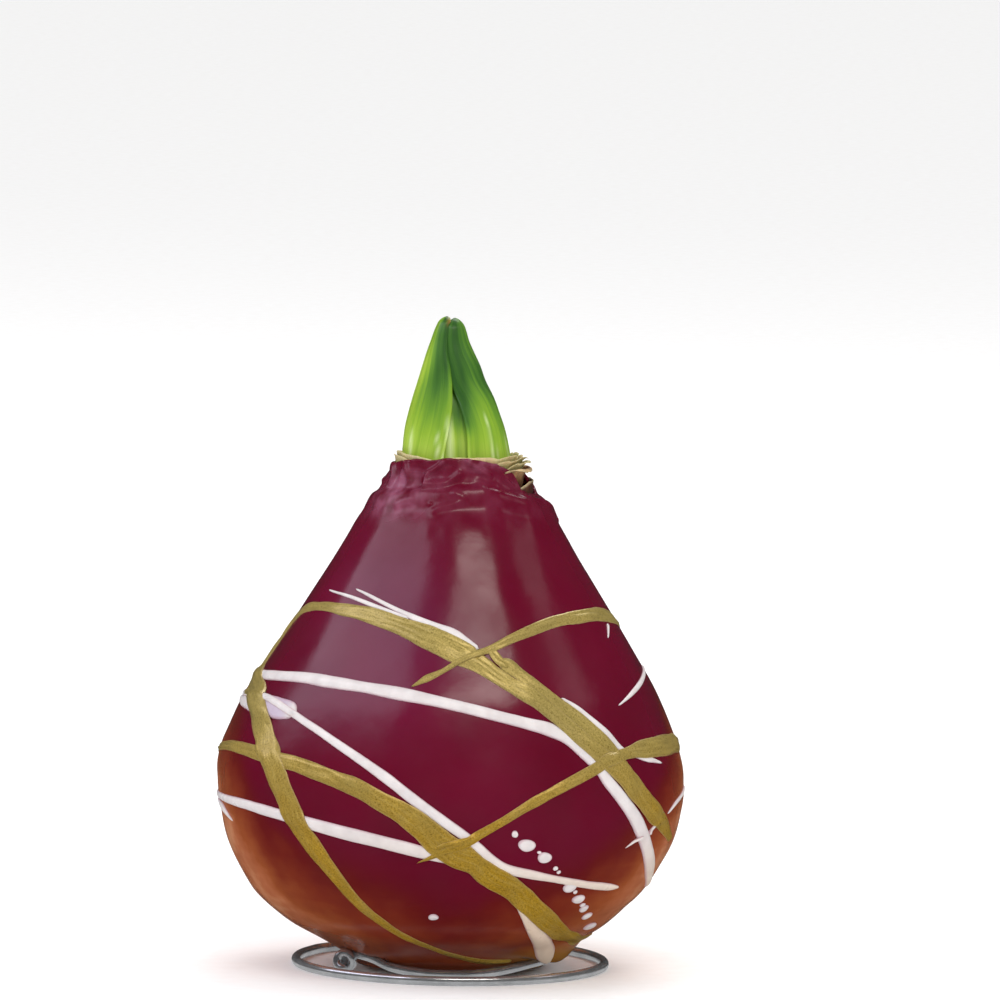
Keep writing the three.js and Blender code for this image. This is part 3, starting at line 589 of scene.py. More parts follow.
# Round tube: at each station a circle across the line, its start carried along without twist, and
# both ends rounded off as quarter circles
def wireRings(line, radius, sides):
    (x, y, z), _ = evenly(line, line, wireStand["step"])
    line = np.stack([x, y, z], 1)
    ahead = np.gradient(line, axis=0)
    ahead /= np.linalg.norm(ahead, axis=1)[:, None]
    upright = np.zeros_like(line)
    held = np.array([0, 0, 1.0])
    for i, direction in enumerate(ahead):
        held = held - direction * (held @ direction)
        held /= np.linalg.norm(held)
        upright[i] = held
    across = np.cross(ahead, upright)
    roundOff = np.radians(wireStand["endRound"])
    reach, capSize = radius * np.sin(roundOff)[:, None], radius * np.cos(roundOff)
    line = np.vstack([line[0] - reach * ahead[0], line, line[-1] + reach[::-1] * ahead[-1]])
    upright, across = (
        np.vstack([[v[0]] * len(roundOff), v, [v[-1]] * len(roundOff)]) for v in (upright, across))
    size = np.concatenate([capSize, np.full(len(x), radius), capSize[::-1]])
    turn = np.linspace(0, 2 * np.pi, sides, endpoint=False)[None, :, None]
    outward = np.cos(turn) * upright[:, None] + np.sin(turn) * across[:, None]
    return line[:, None] + size[:, None, None] * outward


wirePath = wireLine()
wireTube = shell(wireRings(wirePath, wireStand["radius"], wireStand["sides"]))
makePiece("wireStand", [wireTube], steel, ["wire_stand"])

waxCoat = {
    "columns": 384,
    "plateRows": 6, "bodyRows": 132, "neckRows": 74, "insideRows": 30,
    "plateRim": (20.5, 0.95),  # radius and height of the hollow plate's rim
    "hollow": (0.5, 0.15),  # how deep the plate is hollow, and how uneven
    "firstRadius": 1.5, "bunching": 1.15,  # rows lie closer low down by this power
    "neckFrom": 94.0, "thickness": 1.8, "rimThickness": 0.85,
    "thinOver": 6, "insideFrom": 4,  # below the rim the wall thins over this; its inside starts this far up
    "rimRound": [35, 70, 110, 145],  # degrees round the rim's edge
    "grooveRadius": 1.08, "grooveBelow": 6,  # round the wire, so that the wax rests on it
    # height of the wax's torn top edge, by azimuth
    "rim": [
        (-180, 109.8), (-150, 110.3), (-120, 109.4), (-90, 108.9), (-74, 109.2), (-63, 110), (-32, 110.6),
        (-11, 111), (10, 111), (23, 110.5), (35, 109.8), (43, 109.2), (50, 108.2), (54, 106.2), (58, 104.7),
        (66, 103.8), (84, 103), (98, 103.6), (106, 105.2), (114, 107.6), (124, 109.2), (140, 110.2),
        (160, 109.6)],
    "tears": [(0.14, 90, 0, 44), (0.25, 31, 2, 45)],  # of that edge: depth, waves round, row and seed
    # height up to which the painted copper-brown reflection shows, by azimuth
    "copper": [
        (-180, 30), (-150, 38), (-125, 50), (-105, 60), (-92, 59), (-81, 54), (-72, 49), (-62, 41),
        (-53, 32.4), (-42, 26.7), (-32, 25), (-23, 23), (-11, 20), (0, 18), (7, 18), (15, 20.5), (26, 22),
        (35, 23.7), (44, 28.5), (53, 33), (62, 38), (69, 43), (76, 48), (84, 57), (95, 62), (112, 59),
        (130, 49), (150, 38)],
    # how the painted reflection comes in, from above that line to below it; how far the line wanders; its
    # share in front, what the sides add between two azimuths, and what the base takes off between two heights
    "copperFade": {
        "over": (-12, 24), "wander": 2.2, "front": 0.74, "sides": (0.22, 30, 80), "base": (0.12, 3, 14)},
    "bloom": (0.4, -30, 55, 74, 30),  # painted purple sheen: share, azimuth and span, height and reach
    # milky thin wax at the rim, and a painted pale sheen on the roll: the heights over which each comes
    # and goes, its share all round, and the extra share with its azimuth and span
    "milk": [((107.5, 110.5, 150, 151), 0.14, 0.45, 22, 60), ((96, 102, 107, 110), 0.08, 0.5, -50, 48)],
    "bare": (0.95, 40, 4.5, 8.5),  # tan on the lobe: share, span, and the heights over which it ends
}


# Share of the painted copper-brown reflection and bounce light on the wax, from 0 to 1: eased over
# 36 mm through its line, which wanders, and stronger towards the sides
def copperShare(azimuth, height):
    fade = waxCoat["copperFade"]
    line = aroundTable(azimuth, waxCoat["copper"])
    line = line + fade["wander"] * wander(azimuth / 360 * 17, height / 14, 31, 17)
    (sides, *turn), (base, *low) = fade["sides"], fade["base"]
    share = fade["front"] + sides * ease(np.abs(turnedFrom(azimuth, 0)), *turn)
    return ease(line - height, *fade["over"]) * share * (1 - base * (1 - ease(height, *low)))


# Painted purple sheen of soft light on the wax's upper left, fading out all round
def purpleSheenShare(azimuth, height):
    share, middle, span, level, reach = waxCoat["bloom"]
    patch = hump(turnedFrom(azimuth, middle), 0, span) * hump(height, level, reach)
    return share * patch * (0.75 + 0.5 * wander(azimuth / 360 * 9, height / 18, 33, 9))


# Share of milky thin wax at the collar's rim, most of all at its right, and of a painted pale sheen on
# the roll below it, most of all at its left
def milkAndSheenShare(azimuth, height):
    share = 0 * height
    for heights, allRound, extra, middle, span in waxCoat["milk"]:
        patch = allRound + extra * hump(turnedFrom(azimuth, middle), 0, span)
        share = np.maximum(share, between(height, *heights) * patch)
    return share


# Share of bare tan on the lobe that hangs from the basal plate
def bareShare(azimuth, height):
    share, span, *heights = waxCoat["bare"]
    turned = turnedFrom(azimuth, skinShape["lobe"]["azimuth"])
    return share * hump(turned, 0, span) ** 0.6 * (1 - ease(height, *heights))


# Pushes points inwards along their normals until they clear the wire: the far root of the line
# from the point through the circle of grooveRadius round the nearest point of the centre line
def clearOfWire(points, normals, radius):
    low = points[..., 2] < waxCoat["grooveBelow"]
    found, pushed = points[low], points[low].copy()
    line = wirePath[::3]
    nearest = line[np.argmin(np.linalg.norm(found[:, None] - line[None], axis=2), axis=1)]
    apart, normal = found - nearest, normals[low]
    along = np.sum(apart * normal, 1)
    root = along ** 2 - np.sum(apart ** 2, 1) + radius ** 2
    inside = (root > 0) & (along + np.sqrt(np.maximum(root, 0)) > 0) & (np.sum(apart ** 2, 1) < radius ** 2)
    pushed[inside] -= normal[inside] * (along + np.sqrt(np.maximum(root, 0)))[inside, None]
    points = points.copy()
    points[low] = pushed
    return points


# Rings from the middle of the basal plate out and up the skin to the torn rim, over it and down
# the inside, a wall's thickness in
def coatRings():
    spec = waxCoat
    azimuth = np.linspace(-180, 180, spec["columns"], endpoint=False)[None, :]
    turns, (rimRadius, rimHeight), (deep, uneven) = azimuth / 360, spec["plateRim"], spec["hollow"]
    plateRadius = np.linspace(spec["firstRadius"], rimRadius - 0.5, spec["plateRows"])[:, None]
    hollow = deep * (1 - (plateRadius / rimRadius) ** 2)
    hollow = hollow + uneven * wander(turns * 12, plateRadius / 5, 41, 12)
    plate = grown(plateRadius + 0 * azimuth, azimuth + 0 * plateRadius, rimHeight + hollow)
    neckArc = arcOf(spec["neckFrom"])
    low = np.linspace(0, 1, spec["bodyRows"], endpoint=False)[:, None] ** spec["bunching"] * neckArc
    low, torn = low + 0 * azimuth, aroundTable(azimuth, spec["rim"])
    for depth, waves, row, seed in spec["tears"]:
        torn = torn + depth * wander(turns * waves, row, seed, waves)
    rimArc = arcOf(torn)
    high = neckArc + (rimArc - neckArc) * np.linspace(0, 1, spec["neckRows"])[:, None]
    arc = np.vstack([low, high])
    outside = onSkin(azimuth, arc, 0)
    above = onSkin(azimuth, arc, 1.0)
    outside = clearOfWire(outside, above - outside, spec["grooveRadius"])
    wall, half = spec["rimThickness"], spec["rimThickness"] / 2
    roundOff = np.radians(spec["rimRound"])
    over = [onSkin(azimuth, rimArc + half * np.sin(a), -half + half * np.cos(a)) for a in roundOff]
    insideArc = np.linspace(0, 1, spec["insideRows"])[:, None]
    insideArc = rimArc * (1 - insideArc) + spec["insideFrom"] * insideArc
    depth = wall + (spec["thickness"] - wall) * ease(rimArc - insideArc, 0, spec["thinOver"])
    inside = onSkin(azimuth, insideArc, -depth)
    rings = np.concatenate([plate, outside, np.stack([o[0] for o in over]), inside])
    return rings, azimuth + 0 * rings[:, :, 2], rings[:, :, 2]


coat, around, heights = coatRings()
coatShell = shell(
    coat, copper=copperShare(around, heights), haze=purpleSheenShare(around, heights),
    milk=milkAndSheenShare(around, heights), bare=bareShare(around, heights))
makePiece("waxCoat", [coatShell], wax, ["wax_coat"])

bulbInside = {
    "columns": 120, "rows": 60, "shoulderRows": 12,
    "setIn": 2.15, "plateHeight": 3.1, "plateRadii": [4.0, 12.0, 19.0], "top": 99.5,
    # shoulder: from and to what share of the top's radius, how far it is sunk, and the rise and the
    # turns, in radians, of its broken rings
    "shoulder": (0.97, 0.1), "sunk": 0.8, "broken": (0.25, 40)}


# The bulb: the skin's curve set in under the wax, then a shoulder of broken rings round the leaves
def bulbRings():
    spec = bulbInside
    azimuth = np.linspace(-180, 180, spec["columns"], endpoint=False)[None, :]
    side = onSkin(azimuth, np.linspace(1, arcOf(spec["top"]), spec["rows"])[:, None], -spec["setIn"])
    radius = np.array(spec["plateRadii"])[:, None]
    plate = grown(radius + 0 * azimuth, azimuth + 0 * radius, spec["plateHeight"] + 0 * (radius + azimuth))
    inward, (rise, number) = np.linspace(*spec["shoulder"], spec["shoulderRows"])[:, None], spec["broken"]
    rings = spec["top"] - spec["sunk"] + rise * np.cos(inward * number)
    return np.concatenate([plate, side, polar(inward * np.hypot(*side[-1, :, :2].T), azimuth, rings)])


makePiece("bulbInside", [shell(bulbRings())], tunic, ["bulb"])
print("wax coat and bulb made")

# Each strand is (azimuth, height, width) points; white was poured before gold, and each bridges
# what lies under it
whiteStrands = {
    "white_drizzle_low": [[
        (-172, 17, 1), (-150, 24, 1.8), (-125, 32, 1.6), (-100, 36, 1.5), (-82, 37, 1.6), (-63, 37.2, 2.2),
        (-54, 36.8, 2.5), (-46, 36.2, 2.5), (-36, 35, 2.9), (-27, 33.7, 3.1), (-19, 32.5, 3.0),
        (-11, 31.1, 3.0), (-6, 30.1, 2.8), (-3, 29.4, 2.4), (1, 28.4, 1.6)]],
    "white_drizzle_middle": [
        [(-94, 57.4, 0.8), (-86, 57.6, 2.0), (-77, 58, 3.4), (-69.6, 58.2, 4.4), (-60.6, 58.3, 4.8),
         (-55, 58.1, 4.8), (-51, 58.1, 4.2), (-47.5, 57.9, 3)],
        [(-250, 25, 1), (-230, 33, 1.8), (-205, 38, 1.6), (-180, 40, 2), (-155, 44, 1.8), (-130, 52, 1.4),
         (-110, 57, 1.4), (-92, 58.6, 1.2), (-75, 59.4, 1.4), (-64, 59.8, 1.5), (-56, 59, 1.6),
         (-49, 57.7, 1.6), (-44, 56.5, 1.6), (-36, 54.3, 1.7), (-25, 50.3, 2.0), (-16, 46.1, 2.3),
         (-9, 41.8, 2.4), (-1, 36.8, 2.3), (4, 33.7, 2.2), (7, 31.4, 2.2), (10, 29, 2.4), (14, 26.9, 2.4),
         (21, 25.5, 2.2), (28, 24.3, 1.8), (39, 22.5, 1.8), (47, 21.5, 1.9), (51, 21.1, 1.5),
         (54.5, 20.9, 0.4)]],
    "white_drizzle_high": [
        [(-216, 62, 1), (-200, 70, 1.8), (-180, 73, 2.2), (-160, 70, 1.8), (-135, 64, 1.4), (-110, 61, 1.4),
         (-93, 62.8, 1.8), (-78, 63.6, 2.3), (-53, 64.9, 2.6), (-39, 64.7, 2.9), (-26, 64.2, 2.6),
         (-16, 63.4, 3.1), (-5, 62.1, 2.6), (5, 60.6, 2.6), (14, 58.9, 2.5), (21, 57.5, 2.7), (27, 56.2, 3.2),
         (32, 54.1, 2.8), (36, 51, 2.6), (40, 47.7, 2.8), (42.5, 44.7, 3.0), (47.3, 40.5, 3.2),
         (52.6, 36, 3.6), (57.6, 31.6, 3.8), (62.6, 27.6, 3.6), (70, 23.4, 3.4), (79, 19.5, 2)],
        [(33, 62.4, 0.6), (37.2, 60.3, 1.3), (41, 57.8, 1.6), (43.9, 55.8, 1.8), (45.8, 54.4, 1.8),
         (48.2, 52, 1.7), (50.3, 50.8, 1.3), (53, 49.9, 0.9), (58.7, 48.6, 1.4), (62, 48, 1.1),
         (66.5, 47.1, 0.3)]],
    "white_tail_upper": [[
        (-47, 83.6, 0.4), (-37, 82.4, 0.8), (-22, 79.9, 1.1), (-8, 77.1, 2.1), (-1, 75.6, 2.8),
        (4, 73.9, 2.2), (8, 72.6, 1.2)]],
    "white_tail_lower": [[
        (-65, 82.5, 0.4), (-48, 81.9, 0.8), (-34, 80.6, 1.0), (-24, 79.3, 1.0), (-18, 78.3, 0.9)]],
    "white_run_base": [[
        (17.9, 20.6, 0.6), (19.6, 18.4, 1.3), (22.6, 15.9, 2.0), (27.6, 12.8, 3.2), (35, 9.6, 4.2),
        (43, 7.3, 4.4), (50, 6.3, 3.6)]],
    "white_stroke_1": [[(92, 65.6, 0.7), (77, 64, 1.2), (65, 62.2, 1.1), (54, 60, 0.3)]],
    "white_stroke_2": [[(72, 75.9, 0.9), (66, 73.3, 0.4)]],
    "white_stroke_3": [[(89, 40, 0.6), (75, 38, 1.0), (69, 36, 0.4)]],
    "white_stroke_4": [[(66, 35.6, 0.6), (59, 32.4, 0.9)]],
    "white_stroke_5": [[(56, 32.2, 0.8), (53, 31, 0.7), (50.2, 29.9, 0.2)]],
    "white_stroke_6": [[(-86, 35.6, 1.2), (-79, 34.8, 2.0), (-71, 32.6, 0.3)]],
}
goldStrands = {
    "gold_drizzle_middle": [[
        (-150, 27, 1.4), (-130, 36, 1.8), (-108, 43, 1.8), (-91, 46.5, 1.8), (-77, 48.4, 2.1),
        (-67, 48.8, 2.7), (-58, 48.6, 3.0), (-47, 47.8, 3.2), (-40, 47.2, 3.3), (-27, 44.6, 3.8),
        (-22, 43.2, 4.1), (-17, 41, 4.6), (-12, 38.9, 4.9), (-7, 35.9, 5.6), (-3, 32.8, 6.2), (1, 30.4, 6.4),
        (6, 27.9, 5.2), (10, 25.4, 5.9), (16, 22.6, 5.4), (22, 19, 5.0), (27.6, 16.1, 4.8), (35.3, 12.9, 4.5),
        (44, 10.3, 4.3), (54, 8.9, 3.9), (63, 8.0, 3.0), (72, 7.9, 1.8), (80, 8.2, 0.6)]],
    "gold_drizzle_main": [
        [(14.6, 70.3, 1.6), (16.2, 69.7, 3.0), (18, 68.9, 3.4), (20.4, 67.7, 2.9), (23.8, 65.7, 3.4),
         (28.4, 63.1, 3.3), (32.2, 60.4, 3.8), (36.5, 58, 3.5), (40.7, 54.8, 3.9), (44.2, 51.6, 4.2),
         (47.4, 48.7, 3.8), (51, 45.6, 2.6)],
        [(76, 29.8, 1.8), (66.5, 34.2, 4.0), (58.5, 38.2, 5.2), (52.5, 42.3, 5.6), (47.6, 46.4, 5.8),
         (43.3, 48.9, 4.8), (39.4, 51.5, 4.2), (35.4, 54.5, 4.0), (31.7, 57.3, 3.8), (26, 61.3, 3.7),
         (20.5, 64, 3.7), (14.7, 66.6, 3.8), (8.6, 69.5, 4.4), (2, 71.8, 5.6), (-8, 74.5, 5.5),
         (-21, 77, 4.2), (-36, 78.8, 3.5), (-49, 79.2, 2.8), (-62, 79.2, 2.2), (-77, 77.9, 2.4),
         (-86, 74.8, 3.2), (-89, 70.6, 3.6), (-90, 66.4, 4.0), (-87, 63.4, 4.8), (-81, 61.9, 5.6),
         (-74, 60.6, 5.6), (-69, 59.2, 5.6), (-62.6, 55.9, 6.2), (-57.6, 52.8, 5.8), (-54.8, 50.6, 6.2),
         (-51.4, 48.4, 6.4), (-47.8, 44.8, 5.8), (-43.6, 39.4, 5.9), (-40, 34, 5.4), (-36, 28.9, 4.7),
         (-32.7, 24.6, 4.0), (-28.6, 19.2, 3.1), (-22.6, 14.2, 2.5), (-16.2, 10.5, 2.2), (-5, 6.8, 1.9),
         (6, 5, 1.9), (16, 4, 2.0), (25, 3.8, 1.9), (33, 3.9, 1.2)]],
    "gold_drizzle_upper": [
        [(12, 72.6, 1.4), (13.6, 71.2, 2.2), (14.9, 70, 2.2), (17.2, 68.7, 1.4)],
        [(-12.4, 64.8, 0.3), (-10, 65.8, 1.2), (-8, 66.6, 1.9), (-5, 67.6, 1.4), (-3, 68.3, 1.2),
         (2, 70.2, 1.3), (9, 71.9, 1.6), (13, 72.8, 1.8), (20, 74.6, 2.2), (29, 76.3, 2.5), (39, 77.7, 2.7),
         (51, 78.3, 3.0), (67, 78.2, 3.4), (80, 77, 3.4), (93, 75, 2.4), (110, 72, 1.8), (130, 65, 2.4),
         (150, 57, 2.8), (168, 50, 2.2), (180, 45, 0.8)]],
    "gold_drizzle_cross": [
        [(-8.5, 27.9, 0.2), (-5, 29.4, 0.9), (-1, 31, 1.5), (3, 32.3, 1.9), (7, 34.3, 2.0), (13, 37.3, 1.8),
         (20, 40.9, 2.2), (29, 44.5, 2.4), (38, 47.4, 2.6), (43, 49.1, 2.8), (52, 50.3, 2.7), (60, 50.6, 4.2),
         (73, 50.4, 4.6), (85, 49.8, 4.2), (97, 48.2, 3.4), (112, 43.8, 2.4), (128, 38, 2), (148, 29, 2.4),
         (162, 21, 1)],
        [(-4, 31.3, 0.4), (-1.5, 32.2, 1.1), (2, 32.9, 1.2), (5, 33.9, 0.5)]],
}
pour = {
    "step": 0.55, "sunk": 0.3, "thinnest": 0.12,
    "across": [0.27, 0.52, 0.72, 0.88, 0.97, 1], "under": [0.7, 0, -0.7],  # places in half widths
    "scallops": [(1, 3.6, 0), (0.25, 1.1, 3)],  # of the edges: share, length and row
    "folds": (5, 2.3, 0.9),  # of the top: length, how many across, and how far out
    "doming": 0.55,  # the top's power
    # an earlier strand lifts a new one within this distance, and at its ends as far as this; the lift
    # falls between these shares of its half width
    "bridge": {"within": 6, "ends": 1.2, "fall": (0.45, 1.75)},
    "veil": (0.5, 1.75, 2.4),  # how much purple comes through, and the half widths from which it does
    "white": {"crown": 0.2, "perHalfWidth": 0.3, "scallop": 0.03, "folds": 0.05, "low": (12, 38)},
    "gold": {"crown": 0.2, "perHalfWidth": 0.13, "scallop": 0.06, "folds": 0.6, "low": (28, 60)},
}
poured = []


# Lift that a new strand needs at points on the skin to bridge earlier strands: near each one, its
# crown times an eased fall from its middle to one and three quarter half widths away
def bridge(points):
    spec, lift = pour["bridge"], np.zeros(len(points))
    for earlier in poured:
        near = np.linalg.norm(points - earlier["middle"], axis=1) < earlier["span"] + spec["within"]
        if not near.any():
            continue
        apart = points[near][:, None] - earlier["line"][None]
        index = np.argmin(np.einsum("ijk,ijk->ij", apart, apart), axis=1)
        offset = points[near] - earlier["line"][index]
        ahead = earlier["ahead"][index]
        beyond = np.abs(np.sum(offset * ahead, 1))
        sideways = np.sqrt(np.maximum(np.sum(offset ** 2, 1) - beyond ** 2, 0))
        away = np.maximum(sideways / earlier["half"][index], beyond / spec["ends"])
        lift[near] = np.maximum(lift[near], earlier["top"][index] * (1 - ease(away, *spec["fall"])))
    return lift


# A strand lies on the skin along its route. Across it, v runs from -1 to 1 at the half width, and
# the top stands (1 - v^2) to the power 0.55 of its crown above the skin and what it bridges. The
# half width and the folds along the top wander, and both ends are rounded.
def strandShell(route, kind, seed):
    route = np.array(route, float)
    dense = through(np.stack([route[:, 0], arcOf(route[:, 1]), route[:, 2] / 2], 1), 24)
    (azimuth, arc, half), at = evenly(dense, onSkin(dense[:, 0], dense[:, 1], 0), pour["step"])
    style = pour[kind]
    radius = skinRadius(arc)
    scallops = sum(share * wander(at / length, row, seed) for share, length, row in pour["scallops"])
    half = np.maximum(half, pour["thinnest"]) * (1 + style["scallop"] * scallops)
    fromEnd = np.minimum(at, at[-1] - at)
    half *= np.sqrt(1 - (1 - np.clip(fromEnd / np.maximum(half, 0.3), 0.04, 1)) ** 2)
    ahead = np.stack([np.gradient(azimuth) * np.radians(1) * radius, np.gradient(arc)], 1)
    ahead /= np.linalg.norm(ahead, axis=1)[:, None]
    crown = (style["crown"] + style["perHalfWidth"] * half) * np.clip(half / 0.3, 0.3, 1)
    side = np.array(pour["across"])
    v = np.concatenate([-side[::-1], [0], side, pour["under"]])
    isTop = np.arange(len(v)) <= 2 * len(side)
    sideways = half[:, None] * v
    pointAzimuth = azimuth[:, None] - np.degrees(ahead[:, 1:] * sideways / radius[:, None])
    pointArc = np.clip(arc[:, None] + ahead[:, :1] * sideways, 0, skinArc[-1])
    length, number, within = pour["folds"]
    folds = wander(at[:, None] / length, v * number + 20, seed + 1) * (np.abs(v) < within)
    dome = crown[:, None] * (1 - v ** 2) ** pour["doming"] * (1 + style["folds"] * folds)
    flat = onSkin(pointAzimuth, pointArc, 0)
    lift = np.where(isTop, dome + bridge(flat.reshape(-1, 3)).reshape(dome.shape), -pour["sunk"])
    rings = onSkin(pointAzimuth, pointArc, lift)
    middle = len(side)
    line = flat[:, middle]
    tangent = np.gradient(line, axis=0)
    tangent /= np.linalg.norm(tangent, axis=1)[:, None]
    record = {
        "line": line, "ahead": tangent, "half": np.maximum(half, 0.2), "top": lift[:, middle],
        "middle": line.mean(0), "span": np.linalg.norm(line - line.mean(0), axis=1).max()}
    edge, low = np.where(isTop, np.abs(v), 1.0), 1 - ease(rings[:, :, 2], *style["low"])
    share, start, full = pour["veil"]
    veil = share * ease(half, start, full)[:, None] * (1 - low)
    return shell(rings, edge=edge + 0 * low, low=low, veil=veil + 0 * low), record


# A node's name in camel case
def pieceName(node):
    first, *rest = node.split("_")
    return first + "".join(word.capitalize() for word in rest)


def pourStrands(strands, kind, material, seed):
    for node, routes in strands.items():
        shells = []
        for route in routes:
            seed += 10
            made, record = strandShell(route, kind, seed)
            shells.append(made)
            poured.append(record)
        makePiece(pieceName(node), shells, material, [node])


pourStrands(whiteStrands, "white", white, 100)
pourStrands(goldStrands, "gold", gold, 400)
print("drizzles poured")

# Splashed drops, each a list of blobs: azimuth, height, half width, half height
dropSplashes = [
    [(16, 34.5, 0.75, 0.75)], [(19.2, 32, 2.0, 1.35)],
    [(24.2, 29.2, 1.6, 1.3), (22.6, 30.4, 0.5, 0.35), (27.8, 26.7, 0.6, 0.55), (29, 25.8, 0.5, 0.45)],
    [(34.2, 22.1, 1.9, 1.3), (36.6, 20.9, 0.6, 0.5)], [(39, 19.1, 1.75, 1.2)],
    [(43.4, 16.6, 1.35, 1.0), (41.8, 17.6, 0.8, 0.55)], [(48, 14.6, 1.5, 1.1)], [(57, 11.5, 2.3, 1.35)],
    [(-5, 15.6, 1.15, 0.9)], [(112, 56, 1.2, 1)], [(117, 53, 0.8, 0.8)], [(196, 60, 1.4, 1.1)],
    [(201, 56, 0.9, 0.9)], [(-118, 22, 1.2, 1)],
]
dropShape = {
    "around": 28, "degrees": [8, 22, 38, 54, 68, 80, 90], "under": [0.85, 0.3],
    "swells": [(0.06, 2), (0.04, 3)],  # share and waves round
    "crown": (0.16, 0.3, 1.2, 0.35),  # at the rim, what the half height adds, up to what, and the power
}


# A drop: rings from its middle out over a quarter of an ellipse, then under the skin; its outline
# swells by two and three waves round
def dropShell(azimuth, height, halfWidth, halfHeight, seed):
    turn = np.linspace(0, 2 * np.pi, dropShape["around"], endpoint=False)[None, :]
    angle, under = np.radians(dropShape["degrees"])[:, None], np.array(dropShape["under"])[:, None]
    wobble = 1
    phases = np.random.default_rng(seed).uniform(0, 6, len(dropShape["swells"]))
    for (swell, waves), phase in zip(dropShape["swells"], phases):
        wobble = wobble + swell * np.sin(waves * turn + phase)
    share = np.vstack([np.sin(angle), under]) * wobble
    rim, grows, most, power = dropShape["crown"]
    dome = (rim + grows * min(halfHeight, most) * np.cos(angle)) * np.cos(angle) ** power
    rise = np.vstack([dome, 0 * under - pour["sunk"]]) + 0 * turn
    arc = arcOf(height)
    sideways = np.degrees(halfWidth * share * np.cos(turn) / skinRadius(arc))
    rings = onSkin(azimuth + sideways, arc + halfHeight * share * np.sin(turn), rise)
    edge = np.minimum(share, 1)
    return shell(rings, edge=edge, low=0 * edge, veil=0 * edge)


for number, blobs in enumerate(dropSplashes, 1):
    shells = [dropShell(*blob, 700 + 7 * number + i) for i, blob in enumerate(blobs)]
    makePiece(f"whiteDrop{number}", shells, white, [f"white_drop_{number}"])
print("drops splashed")

sprout = {
    # height, half width and sideways place of the outside
    "outline": [
        (99.3, 11.8, -0.5), (105, 11.9, -0.5), (109, 11.9, -0.45), (112, 11.7, -0.6), (116.4, 11.0, -0.9),
        (120, 10.0, -1.15), (123.4, 8.9, -1.35), (127, 7.45, -1.75), (130.3, 6.35, -1.9), (133, 5.3, -2.15),
        (135.5, 4.3, -2.3), (137.6, 3.6, -2.2), (139.3, 2.9, -2.1), (140.3, 2.3, -2.1), (140.8, 1.8, -2.1)],
    "base": 99.3, "rows": 96, "columns": 46,
    "bunching": 1.6,  # rows lie closer towards the tip by this power
    "blunt": 2.4, "rounding": 18,  # powers of the tip's and the edges' curves
    "depth": (0.82, 0.13, 112, 138),  # front to back over side to side: low down, and what is added higher
    "thickness": 2.2, "ofDepth": 0.44, "edgeThickness": 0.5,  # at most that share of the half depth
    # how far the blade's front and back stand out from its flanks, and its lumps, with how many degrees
    # wide and how tall they are
    "keel": (0.12, 0.05, 14, 30),
    "backGreen": (0.3, 95, 130, 108, 131),  # share, azimuths and heights over which the back deepens
    "ribs": (0.6, 3, 4, 0.7),  # share of painted highlight, heights over which a rib's highlight starts and stops, and the most
    # azimuth of each outer leaf's front edge, by height
    "leftEdge": [
        (99, -16), (109, -15.2), (111.5, -13.6), (114.5, -10), (118, -5.7), (121, -3), (124, -1), (127, 0.6),
        (130, -2), (133.5, -7), (137, -9), (139.2, -8), (140.2, 10), (141, 25)],
    "rightEdge": [
        (99, 13), (112, 13), (115, 14), (117.5, 14), (120.4, 11.5), (122.4, 8.6), (124.4, 4.4), (126.4, -1),
        (128.4, -6), (130.5, -10), (133.5, -16), (137, -20), (141, -20)],
    # how far the right leaf's front edge goes in behind the left leaf's, the heights over which it
    # does, what share of that it loses higher up, and over which heights
    "tuck": (0.6, 119, 124, 0.6, 134, 140),
}
sproutCurve = through(sprout["outline"], 20)


# Centre, half width and half depth of the sprout at a height; it is nearly round at its tip
def sproutAt(height):
    half, centre = (np.interp(height, sproutCurve[:, 0], sproutCurve[:, i]) for i in (1, 2))
    low, added, *heights = sprout["depth"]
    return centre, half, half * (low + added * ease(height, *heights))


